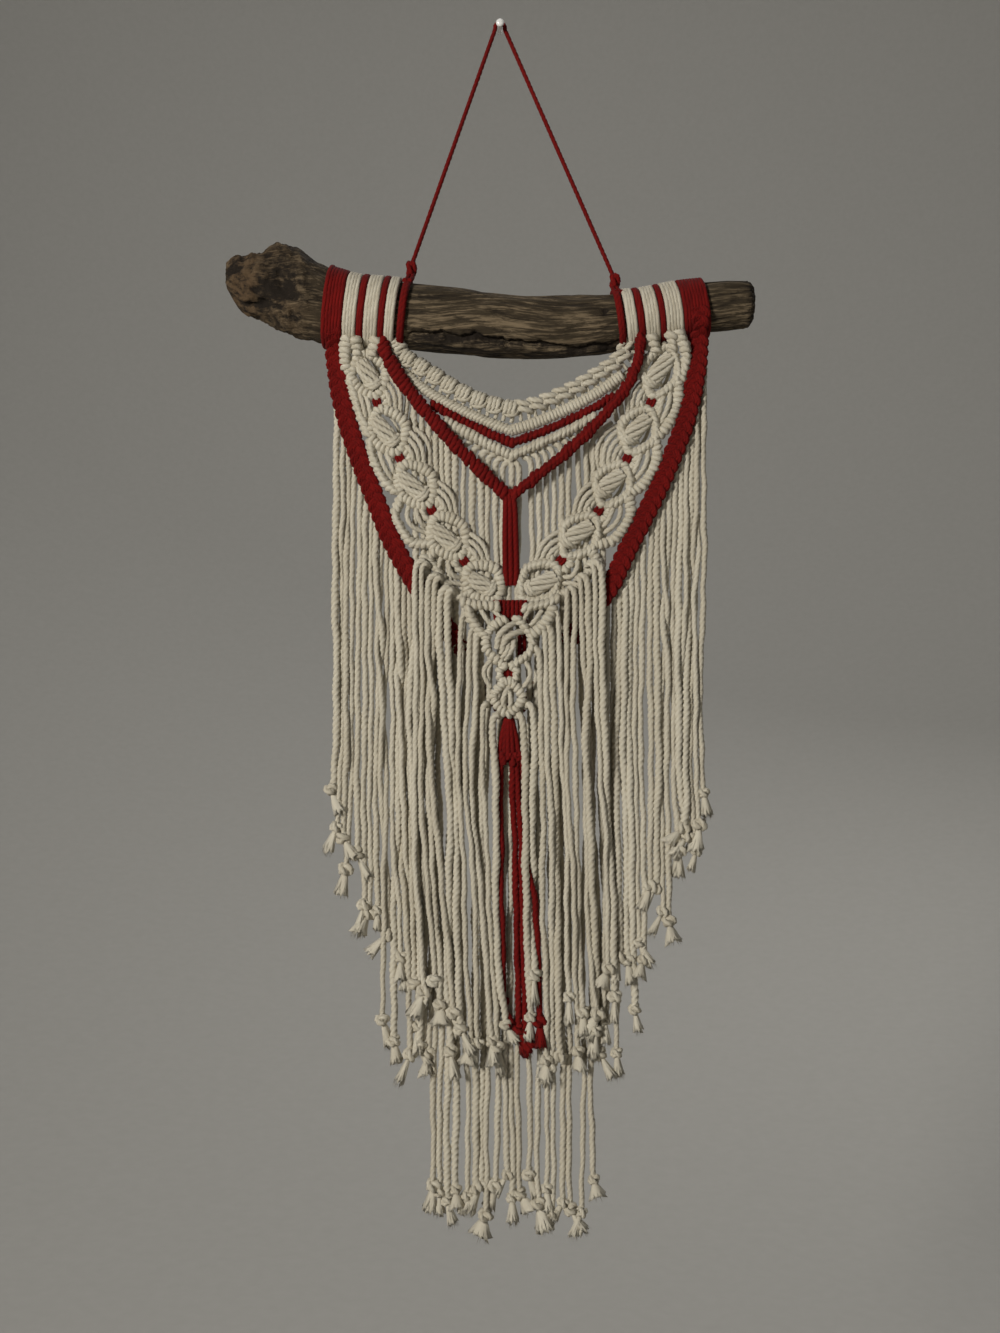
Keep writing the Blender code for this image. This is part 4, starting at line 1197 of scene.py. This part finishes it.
# one cord swings under the knot and up between it and the next
STANDING_KNOT.append(([(-3, -3, 0.4), (-1.2, -4, 1.4), (1.5, -4.1, 2), (3.6, -2.8, 2.2),
                       (4.4, -0.4, 1.9), (4.4, 1.8, 1.3), (4.3, 3, -0.6)], 1.4))
LYING_KNOT = [([(-4.1, shift - 1.2, 0.1), (-2.5, shift - 0.9, 2.0), (0.6, shift + 0.1, 2.7),
                (3.0, shift + 0.9, 1.8), (4.1, shift + 1.2, 0.1)], 1.95) for shift in (-1.8, 1.6)]
LYING_KNOT.append(([(4.6, -3.6, 0.4), (4.1, -1.8, 1.9), (3.6, 0.4, 1.8), (3.2, 1.8, 0.2)], 1.5))


def square_knots(path, pitch, knot, last_too):
    """Cords of a row of square knots, with or without one at the path's last point."""
    line = resampled(smooth([(x, NECK_DEPTH, z) for x, z in path], 1.0), pitch)
    runs = list(np.diff(line, axis=0))
    # two cords lie inside the row, and two run down to the rib
    inner = []
    for shift in (-1.4, 1.4):
        inner += [([(-0.5 * pitch - 0.5, shift, -0.4), (0.0, shift, 0.3),
                    (0.5 * pitch + 0.5, shift, -0.4)], 1.7),
                  ([(1.5 * shift, -1.5, 0.0), (1.7 * shift, -4.0, 0.0), (1.6 * shift, -7.5, -0.3)], 1.3)]
    lines = []
    for spot, run in zip(line, runs + runs[-1:] * last_too):
        run = run / np.linalg.norm(run)
        up = np.array([-run[2], 0.0, run[0]]) * (1 if run[0] > 0 else -1)
        lines += [laid([spot + run * along + up * across + (0, front, 0) for along, across, front in places],
                       radius, 1.2) for places, radius in knot + inner]
    return lines


standing, lying = halves(NECK_TOP)
knots = square_knots(standing, 8.8, STANDING_KNOT, True) + square_knots(lying, 7.4, LYING_KNOT, False)
add_piece("neckline_of_square_knots", WHITE, "neckline_knots", cords(knots, WHITE, 41))

# %% Rib, chevrons and inner V
for piece, node, kind, path, depth, slant, seed, *look in (
        ("rib_under_neckline", "neckline_rib", "rib", NECK_RIB, NECK_DEPTH, -14.0, 43, 2.2, 0.07),
        ("red_chevron", "chevron_red", "red_chevron", RED_CHEVRON, 28.8, 32.0, 44),
        ("white_chevron", "chevron_white", "white_chevron", WHITE_CHEVRON, 29.2, 32.0, 45)):
    left, right = halves(path)
    rows = [(left, depth, slant, False), (right, depth, -slant, False)]
    add_piece(piece, HITCHES[kind][0], node, hitched(rows, kind, seed, *look))

tail = [laid([(4.6 + v * 0.6, INNER_DEPTH, -261.0), (5.4 + v, INNER_DEPTH + 0.4, -270.0),
              (5.6 + v * 1.2, INNER_DEPTH - 0.6, -286.0), (5.9 + v * 1.25, INNER_DEPTH - 2.6, -303.0),
              (5.9 + v, INNER_DEPTH - 4.6, -312.0)], 1.85, 1.6) for v in (-2.3, 0.0, 2.3)]
rows = [(INNER_V_LEFT, INNER_DEPTH, 42.0, False), (INNER_V_RIGHT, INNER_DEPTH, -42.0, False)]
add_piece("inner_v_red", RED, "inner_v", hitched(rows, "inner_v", 46), cords(tail, RED, 47, Groove=0.07))

# %% [markdown]
# ## Edging
# The outer row of each side is thicker than the rest: three strands of three cords, plaited flat. A plait
# is a simple rule: each strand swings across the row as a sine, and to the front and back at twice that
# rate, a third of a turn behind the one before it. It narrows as it runs down behind the front fringe.

# %% The plaited edging
PLAIT_STEP = 1.2
PLAIT_TURN = 16.0
PLAIT_ACROSS = 3.1
PLAIT_THROUGH = 0.6
PLAIT_NARROWEST = 0.40
NARROW_FROM = -338.0          # the z below which it narrows
EDGING_DEPTH = 29.6
# its top lies over the lower part of the wide band: x, depth, z
EDGING_START = {"left": [(-88.6, 38.6, -168.5), (-89.4, 37.4, -176.5)],
                "right": [(107.0, 37.0, -163.5), (107.8, 35.6, -171.0)]}


def plait(start, path):
    """Three strands of three cords each, plaited along a path that goes back as it runs down."""
    line = start + [(x, EDGING_DEPTH - 5.0 * held((-z - 335.0) / 25.0), z) for x, z in path]
    line = resampled(smooth(line, 1.0), PLAIT_STEP)
    run = np.gradient(line, axis=0)
    run /= np.linalg.norm(run, axis=1)[:, None]
    across = np.stack([-run[:, 2], np.zeros(len(run)), run[:, 0]], axis=1)
    share = np.interp(line[:, 2], [path[-1][1], NARROW_FROM], [PLAIT_NARROWEST, 1.0])
    lines = []
    for strand in range(3):
        turn = 2 * math.pi * (np.arange(len(line)) * PLAIT_STEP / PLAIT_TURN + strand / 3)
        side = PLAIT_ACROSS * np.sin(turn) * share
        for cord in (-1, 0, 1):
            place = line + across * (side + cord * 1.4 * share)[:, None]
            place[:, 1] += PLAIT_THROUGH * np.sin(2 * turn) + cord * 0.25 * np.cos(turn)
            lines.append((place, 1.42 * (0.35 + 0.65 * share), False))
    return lines


for seed, side in enumerate(EDGING, start=51):
    lines = plait(EDGING_START[side], EDGING[side])
    add_piece(f"plaited_edging_{side}", RED, f"edging_{side}", cords(lines, RED, seed, Groove=0.06))

# %% [markdown]
# ## Bands over the rod
# The cords that carry everything are laid over the rod side by side, white and red in turn, so each band
# is a few closed loops of cord that follow the rod's skin. They are pulled tight, so the cord is flatter
# and its twist is drawn out. `rod_skin` is the same rule that shaped the CAD rod.

# %% The rod's skin and the bands
ROD_STATIONS = [
    # x,      z,      depth, half_z, half_y
    (-148.5, -144.3, 24, 5, 5), (-144.5, -145.3, 24, 9.5, 9),
    (-137, -147, 24, 14, 13), (-128.5, -148.3, 24, 18.2, 16.5),
    (-122, -148.3, 24, 22.5, 18.5), (-115.5, -150, 24, 24.3, 19.5),
    (-108, -154, 24, 23.8, 19.5), (-98.5, -158.5, 23.5, 21.8, 19),
    (-89, -161.5, 23, 19.9, 18), (-75.5, -163.3, 23, 18.2, 17),
    (-62, -164, 23, 18, 17), (-48.5, -165.3, 23, 17.7, 17),
    (-29.5, -167.5, 23, 18, 17), (-8, -170, 23, 17.5, 17),
    (13.5, -171, 23, 17, 16.5), (35, -171.3, 23, 16.8, 16.5),
    (54, -170, 22.5, 16, 16), (75.5, -166.8, 22, 14.8, 15),
    (94.5, -163, 21.5, 14.5, 14.5), (108, -160.8, 21.5, 13.8, 14),
    (124, -159.3, 21.5, 13.3, 13.5), (135, -158.5, 21.5, 12.6, 12.5),
    (138, -158.3, 21.5, 8.5, 8.5),
]
# x, width and colour of each band, from the outside in
BANDS = {
    "left": [(-88.8, 10.4, RED), (-79.6, 6.8, WHITE), (-74, 3.2, RED), (-68.2, 7.2, WHITE),
             (-62.6, 2.8, RED), (-58.2, 4.8, WHITE)],
    "right": [(104.8, 13.8, RED), (92.8, 9, WHITE), (86.5, 2.6, RED), (80.9, 7.3, WHITE),
              (75.0, 3.2, RED), (70.0, 5.4, WHITE)],
}
BAND_LEAN = {"left": 2.4, "right": -2.4}
BAND_OUT = 2.9                # how far a band's face stands off the rod's skin
BAND_CORD = 1.9               # the width of one cord in a band


def knobbly(x, angle):
    return 1.0 + 0.022 * math.sin(3 * angle + 0.09 * x) + 0.012 * math.sin(5 * angle - 0.13 * x)


def rod_skin(x, angle, out=0.0):
    """A point of the rod's skin in x, depth and z: angle 0 faces the room and a quarter turn is the top."""
    z, depth, half_z, half_y = (read_between(ROD_STATIONS, x, column) for column in (1, 2, 3, 4))
    toward_room = (half_y * knobbly(x, angle) + out) * math.cos(angle)
    return (x, depth + toward_room, z + (half_z * knobbly(x, angle) + out) * math.sin(angle))


def band(x, width, lean):
    """Cords laid tightly side by side over the rod, as closed loops that lean a little."""
    count = max(1, round(width / BAND_CORD))
    radius = min(width / 2, width / count * 0.78)
    angles = np.linspace(-math.pi / 2, 1.5 * math.pi, 60, endpoint=False)
    return [([rod_skin(x + place + lean * math.sin(angle), angle, BAND_OUT - radius) for angle in angles],
             radius, True) for place in np.linspace(radius - width / 2, width / 2 - radius, count)]


for side, bands in BANDS.items():
    for number, (x, width, colour) in enumerate(bands, start=1):
        mesh = cords(band(x, width + 0.7, BAND_LEAN[side]), colour, 60 + number,
                     Groove=0.05, Lay_Length=0.034, Step=0.002)
        add_piece(f"cords_over_rod_{side}_{number}", colour, f"band_{side}_{number}", mesh)

# %% [markdown]
# ## Hanger
# A single red cord runs from a knot on the rod, over the pin and down to the other knot. Each knot is drawn
# as one tight overhand knot, and two cords run from it to the loops that are tied round the rod.

# %% Hanger cord, knots and ties
HANGER_KNOTS = {"left": (-48.4, -139.5), "right": (62.4, -146.2)}
TIES = {"left": (-52.0, 4.4), "right": (64.4, 4.2)}
PIN_BEND = 2.8
PIN_DEPTH = 6.0
HANGER_RADIUS = 1.35
ROD_DEPTH = 24.0


def hanger_route():
    """Up the left leg, over the pin's shank and down the right leg."""
    reach = math.radians(108)
    arc = [(PIN_BEND * math.cos(a), PIN_DEPTH, PIN_BEND * math.sin(a))
           for a in np.linspace(math.pi / 2 + reach, math.pi / 2 - reach, 9)]
    legs = []
    for (x, z), join in zip(HANGER_KNOTS.values(), (arc[0], arc[-1])):
        foot = np.array((x, ROD_DEPTH, z + 1.0))
        legs.append([foot + (np.array(join) - foot) * t for t in np.linspace(0, 1, 14, endpoint=False)])
    return np.array(legs[0] + arc + legs[1][::-1])


route = hanger_route()
cord = cords([(route, HANGER_RADIUS, False)], RED, 71, Step=0.0012)
add_piece("hanger_of_red_cord", RED, "hanger_cord", cord)
print("hanger cord:", round(line_length(route)), "mm")

for side, (x, z) in HANGER_KNOTS.items():
    lean = BAND_LEAN[side]
    lines = band(*TIES[side], lean)
    lines.append((trefoil(1.30, 3.3) + (x, ROD_DEPTH, z), 1.55, True))
    top_z = rod_skin(x, math.pi / 2)[2]
    for offset in (-1.3, 1.3):
        lines.append(laid([(x, ROD_DEPTH, z - 1.0), (x + offset * 0.8, ROD_DEPTH + 1.6, z - 4.0),
                           (x + offset - lean * 0.3, ROD_DEPTH + 5.0, top_z + 0.6),
                           (x + offset - lean * 0.7, ROD_DEPTH + 9.5, top_z - 1.0)], HANGER_RADIUS, 1.2))
    add_piece(f"hanger_knot_{side}", RED, f"hanger_tie_{side}", cords(lines, RED, 75, Groove=0.07))

# %% [markdown]
# ## Tassel head and pin
# The red cords that leave the two edgings are gathered behind the lower ring and left to spread. The
# hanging's only metal part is the nail it hangs on, turned with a small round white head.

# %% Tassel head
TASSEL_DEPTH = 31.0
lines = []
for number, (side, front) in enumerate(circle(11)):
    spread = 5.2 + (1.2 if number % 2 else 0.0)
    end = -404.0 - 6.0 * ((number * 5) % 11) / 11
    lines.append(laid([(4.8 + 0.6 * side, TASSEL_DEPTH + 0.6 * front, -376.0),
                       (4.9 + 1.5 * side, TASSEL_DEPTH + 1.1 * front, -384.0),
                       (5.0 + (spread - 1.2) * 0.8 * side, TASSEL_DEPTH + 1.8 * front, -394.0),
                       (5.2 + (spread - 0.4) * side, TASSEL_DEPTH + 2.0 * front, end)], 1.75))
add_piece("tassel_bundle", RED, "tassel_head", cords(lines, RED, 81, Groove=0.10))

# %% Pin
PIN_SIDES = 36
# depth from the wall and radius
PIN_PROFILE = [(0, 1), (0.3, 1.2), (11.2, 1.2), (11.5, 1.3), (11.7, 2), (12, 2.2), (12.5, 2.2),
               (13, 1.95), (13.35, 1.4), (13.55, 0.7), (13.6, 0.25)]

pin_paint, tree = new_material("pin_paint")
smear = tree.noise(tree.place(), 900.0, 2.0)
tree.surface(Base_Color=(0.80, 0.79, 0.76, 1.0), Roughness=smear * 0.18 + 0.22, Coat_Weight=0.4)
places = [point(radius * c, depth, radius * s) for depth, radius in PIN_PROFILE for c, s in circle(PIN_SIDES)]
faces = ring_faces(len(PIN_PROFILE), PIN_SIDES)
faces += [tuple(range(PIN_SIDES)), tuple(range(len(places) - PIN_SIDES, len(places)))]
nail = solid(places, faces)
nail.materials.append(pin_paint)
add_piece("turned_pin", "pin_paint", "wall_pin", nail)

# %% [markdown]
# ## Driftwood
# A stick that has lain in water loses its bark and soft wood: what stays is the harder grain, in ridges
# along its length, with cracks that open where it dried. So the rod's skin is pushed in and out along the
# grain by a noise that is stretched lengthwise, the cracks are lines on the skin, and the burl at the left
# end is coarse lumps round a rotten hollow. Two attributes tell the material where to paint shade, in the
# grain's grooves, the cracks, pits and hollow, and where the wood is warm in colour.

# %% The rod's relief
CRACK = [(-49.0, -43.0), (-30.0, -39.0), (-9.0, -37.0), (17.0, -45.0), (39.0, -56.0), (63.0, -57.0)]
# marks on the skin: x and its reach, degrees round the rod and their reach
PIT = (-115.5, 5.0, -3.0, 15.0)
HOLLOW = (-119.0, 9.5, 12.0, 34.0)
KNOT_HOLE = (56.2, 1.9, 14.0, 7.0)


def stretched(x, angle, along, around, seed):
    """Noise on the rod's skin that is longer along the grain than across it."""
    return noise.noise(Vector((x * along, around * math.cos(angle), around * math.sin(angle) + seed)))


def near(value, width):
    """One at zero, falling softly to nothing over this width."""
    return math.exp(-(value / width) ** 2)


def marked(x, turn, mark):
    middle_x, reach_x, middle_turn, reach_turn = mark
    return near(x - middle_x, reach_x) * near(turn - middle_turn, reach_turn)


def rod_relief(x, angle):
    """How far the skin stands out in millimetres, how much painted shade it gets where it lies deep, and how
    warm in colour it is there.
    """
    turn = math.degrees(angle)
    # grain on the body, lumps on the burl
    wind = angle + 0.25 * stretched(x, angle, 0.02, 0.7, 3.0)
    body = held((x + 112.0) / 16.0)
    burl = 1.0 - body
    ridges = max(0.0, 1.0 - abs(stretched(x, wind, 0.016, 3.4, 10.0)) * 2.6)
    fine = max(0.0, 1.0 - abs(stretched(x, wind, 0.045, 9.0, 30.0)) * 2.6)
    lumps = stretched(x, angle, 0.075, 1.5, 50.0)
    knobs = stretched(x, angle, 0.19, 3.6, 70.0)
    grit = stretched(x, angle, 0.50, 9.5, 20.0)
    out = body * (-0.85 * ridges ** 3 - 0.42 * fine ** 3)
    out += burl * (3.4 * lumps + 2.2 * knobs + 0.9 * grit - 0.5 * fine ** 2)
    # painted shade: darker in the grain's grooves and between the burl's lumps
    sunk = body * (0.55 * ridges ** 4 + 0.35 * fine ** 4)
    sunk += burl * (1.6 * max(0.0, -lumps) + 1.6 * max(0.0, -knobs) + 0.9 * max(0.0, -grit))
    # the long crack, which fades out at both ends, with a raised lip; its gap is painted darker, with a wide
    # painted shadow below the lip
    ends = held((x + 52) / 8) * held((66 - x) / 10)
    wobble = 2.6 * stretched(x, 0.0, 0.11, 0.0, 5.0) + 1.2 * stretched(x, 0.0, 0.4, 0.0, 9.0)
    gap = (turn - read_between(CRACK, x, 1)) * math.radians(1) * 17.0 + wobble
    width = 1.5 + 0.9 * stretched(x, 0.0, 0.09, 3.0, 2.0)
    out += ends * (-3.2 * near(gap, width) + 1.1 * near(gap + 4.0, 2.4))
    sunk += ends * (1.3 * near(gap, width * 1.1) + 0.80 * near(gap + 8.0, 7.0))
    # single marks, two short cracks and the broken right end
    pit, knot_hole = marked(x, turn, PIT), marked(x, turn, KNOT_HOLE)
    hollow = marked(x, turn, HOLLOW) * (0.75 + 0.9 * knobs)
    top_crack = near(turn - 63.0 + 2.0 * math.sin(x * 0.3), 3.4) * (111 < x < 136)
    low_crack = near(turn + 8.0 + 4.0 * math.sin(x * 0.35), 3.6) * near(x + 101.0, 7.0)
    broken = held((x - 131.0) / 5.0)
    out += -4.5 * hollow - 2.6 * pit + 2.2 * near(x + 141.0, 7.0) - 1.8 * knot_hole \
        - 1.6 * top_crack - 1.4 * low_crack + broken * 1.6 * stretched(x, angle, 0.4, 4.0, 90.0)
    # painted shade in the hollow, pit, knot hole and short cracks, and the broken end painted darker
    sunk += 1.05 * hollow + 0.9 * pit + 1.2 * knot_hole + 1.1 * top_crack + 0.9 * low_crack + 0.5 * broken
    return out, held(sunk), min(1.0, near(x + 138.0, 8.0) * 0.8 + burl * 0.5)


# %% The rod's mesh
ROD_COLUMNS, ROD_SIDES = 320, 120


def rod_mesh():
    first, last = ROD_STATIONS[0], ROD_STATIONS[-1]
    places, wood_shades, warms = [], [], []
    for x in np.linspace(first[0], last[0], ROD_COLUMNS):
        for side in range(ROD_SIDES):
            angle = 2 * math.pi * side / ROD_SIDES - math.pi
            out, sunk, warm = rod_relief(x, angle)
            places.append(point(*rod_skin(x, angle, out)))
            wood_shades.append(sunk)
            warms.append(warm)
    # a fan closes each end, its middle a little inside
    faces = ring_faces(ROD_COLUMNS, ROD_SIDES)
    ends = zip((0, len(places) - ROD_SIDES), (first, last), (0.8, -2.0))
    for start, (x, z, depth, *_size), inward in list(ends):
        for side in range(ROD_SIDES):
            faces.append((start + side, start + (side + 1) % ROD_SIDES, len(places)))
        places.append(point(x + inward, depth, z))
    # the end faces are painted darker too
    return solid(places, faces, sunk=wood_shades + [0.8, 0.8], warm=warms + [0.0, 0.0])


# %% Weathered wood
WOOD_PALE = (0.190, 0.140, 0.084, 1.0)
WOOD = (0.046, 0.033, 0.018, 1.0)
# the colour of dark grain, and of the painted shade in the rod's recesses
WOOD_DARK_AND_SHADE = (0.013, 0.0085, 0.0048, 1.0)
WOOD_WARM = (0.092, 0.057, 0.029, 1.0)


def driftwood_material():
    material, tree = new_material("driftwood")
    place, sunk, warm = tree.place(), tree.carried("sunk"), tree.carried("warm")
    wind = tree.noise(place, 22.0, 1.0)
    bent = tree.vector("ADD", place, tree.xyz(Z=(wind - 0.5) * 0.010))

    def grain(along, across, detail):
        return tree.noise(tree.vector("MULTIPLY", bent, (along, across, across)), 1.0, detail, 0.72)

    broad, fibres, hairs = grain(20.0, 260.0, 5.0), grain(34.0, 520.0, 4.0), grain(90.0, 1300.0, 3.0)
    patches, rot = tree.noise(place, 30.0, 3.0), tree.noise(place, 170.0, 5.0, 0.7)
    light = (broad - 0.46) * 3.0 + (fibres - 0.5) * 3.4 + (patches - 0.5) * 1.2 + (hairs - 0.5) * 3.0
    # darker grain and rot are the wood's own colour; the first term is painted shade in the recesses
    dark_grain_and_shade = sunk * 1.1 + (0.47 - broad) * 2.6 + (0.5 - hairs) * 1.6 + warm * (0.52 - rot) * 4.5
    colour = tree.mix(light, WOOD, WOOD_PALE)
    colour = tree.mix(warm * (patches * 1.5), colour, WOOD_WARM)
    colour = tree.mix(dark_grain_and_shade, colour, WOOD_DARK_AND_SHADE)
    height = broad * 0.5 + fibres * 0.7 + hairs * 0.4 + rot * (warm * 0.8 + 0.3)
    bump = tree.add("ShaderNodeBump", Strength=0.9, Distance=0.0012, Height=height)
    tree.surface(Base_Color=colour, Roughness=0.88, Specular_IOR_Level=0.25, Normal=bump)
    return material


rod = rod_mesh()
rod.materials.append(driftwood_material())
add_piece("driftwood_stick", "driftwood", "driftwood_rod", rod)

# %% [markdown]
# ## Light, floor and backdrop
# The photograph has one soft light from the upper left and little else, so a large area lamp there gives
# the modelling and a weak one fills. The floor is plain and pale, and it curves up into the backdrop far
# behind, which leaves the picture's ground even. None of it belongs to the object.

# %% Light
LAMPS = {
    # name: place, target, size, power and colour
    "key": ((-1.15, -1.7, 0.16), (0.0, -0.03, -0.42), 0.42, 36.0, (1.0, 0.98, 0.94)),
    "fill": ((1.3, -1.6, -0.2), (0.0, -0.03, -0.35), 1.2, 2.0, (0.93, 0.96, 1.0)),
    "back": ((1.0, 1.7, 0.9), (0.0, 0.0, -0.33), 1.2, 11.0, (1.0, 1.0, 1.0)),
    "ground": ((0.0, 1.2, 2.2), (0.0, 3.6, 0.0), 2.0, 30.0, (1.0, 1.0, 1.0)),
}
for name, (place, target, size, power, colour) in LAMPS.items():
    data = bpy.data.lights.new(name, "AREA")
    data.shape = "DISK"
    data.size = size
    data.energy = power
    data.color = colour
    lamp = linked(name, data)
    lamp.location = place
    lamp.rotation_euler = (Vector(target) - Vector(place)).to_track_quat("-Z", "Y").to_euler()

world = bpy.data.worlds.new("world")
bpy.context.scene.world = world
world.use_nodes = True
sky = world.node_tree.nodes["Background"].inputs
sky["Color"].default_value = (0.80, 0.84, 0.90, 1.0)
sky["Strength"].default_value = 0.050
print(len(LAMPS), "lamps and a weak sky")

# %% Floor and backdrop
FLOOR_Z = -1.05
SWEEP_SIDES = 48
# radius and height: flat, then a quarter of an ellipse, then straight up
SWEEP_PROFILE = [(0.9, 0.0)] + [(0.9 + 3.4 * math.sin(a), 3.0 - 3.0 * math.cos(a))
                                for a in np.linspace(0.08, math.pi / 2, 20)] + [(4.3, 6.0)]

stage_paper, tree = new_material("stage_paper")
mottle = tree.noise(tree.place(), 60.0, 2.0)
tree.surface(Base_Color=tree.mix(mottle, (0.42, 0.405, 0.37, 1.0), (0.46, 0.445, 0.41, 1.0)), Roughness=0.95)
places = [(radius * c, radius * s, FLOOR_Z + rise) for radius, rise in SWEEP_PROFILE
          for c, s in circle(SWEEP_SIDES)]
faces = ring_faces(len(SWEEP_PROFILE), SWEEP_SIDES)
faces += [(len(places), side, (side + 1) % SWEEP_SIDES) for side in range(SWEEP_SIDES)]
sweep_mesh = number_mesh(places + [(0.0, 0.0, FLOOR_Z)], (), faces)
sweep_mesh.shade_smooth()
sweep_mesh.materials.append(stage_paper)
sweep = linked("stage_sweep", sweep_mesh)
print("backdrop of", len(faces), "faces")

# %% [markdown]
# ## The end
# The templates go. Cord may stand a little proud of its solid and no more.

# %% Finish
for collection in (templates, tufts):
    for piece in list(collection.objects):
        bpy.data.objects.remove(piece)
    bpy.data.collections.remove(collection)
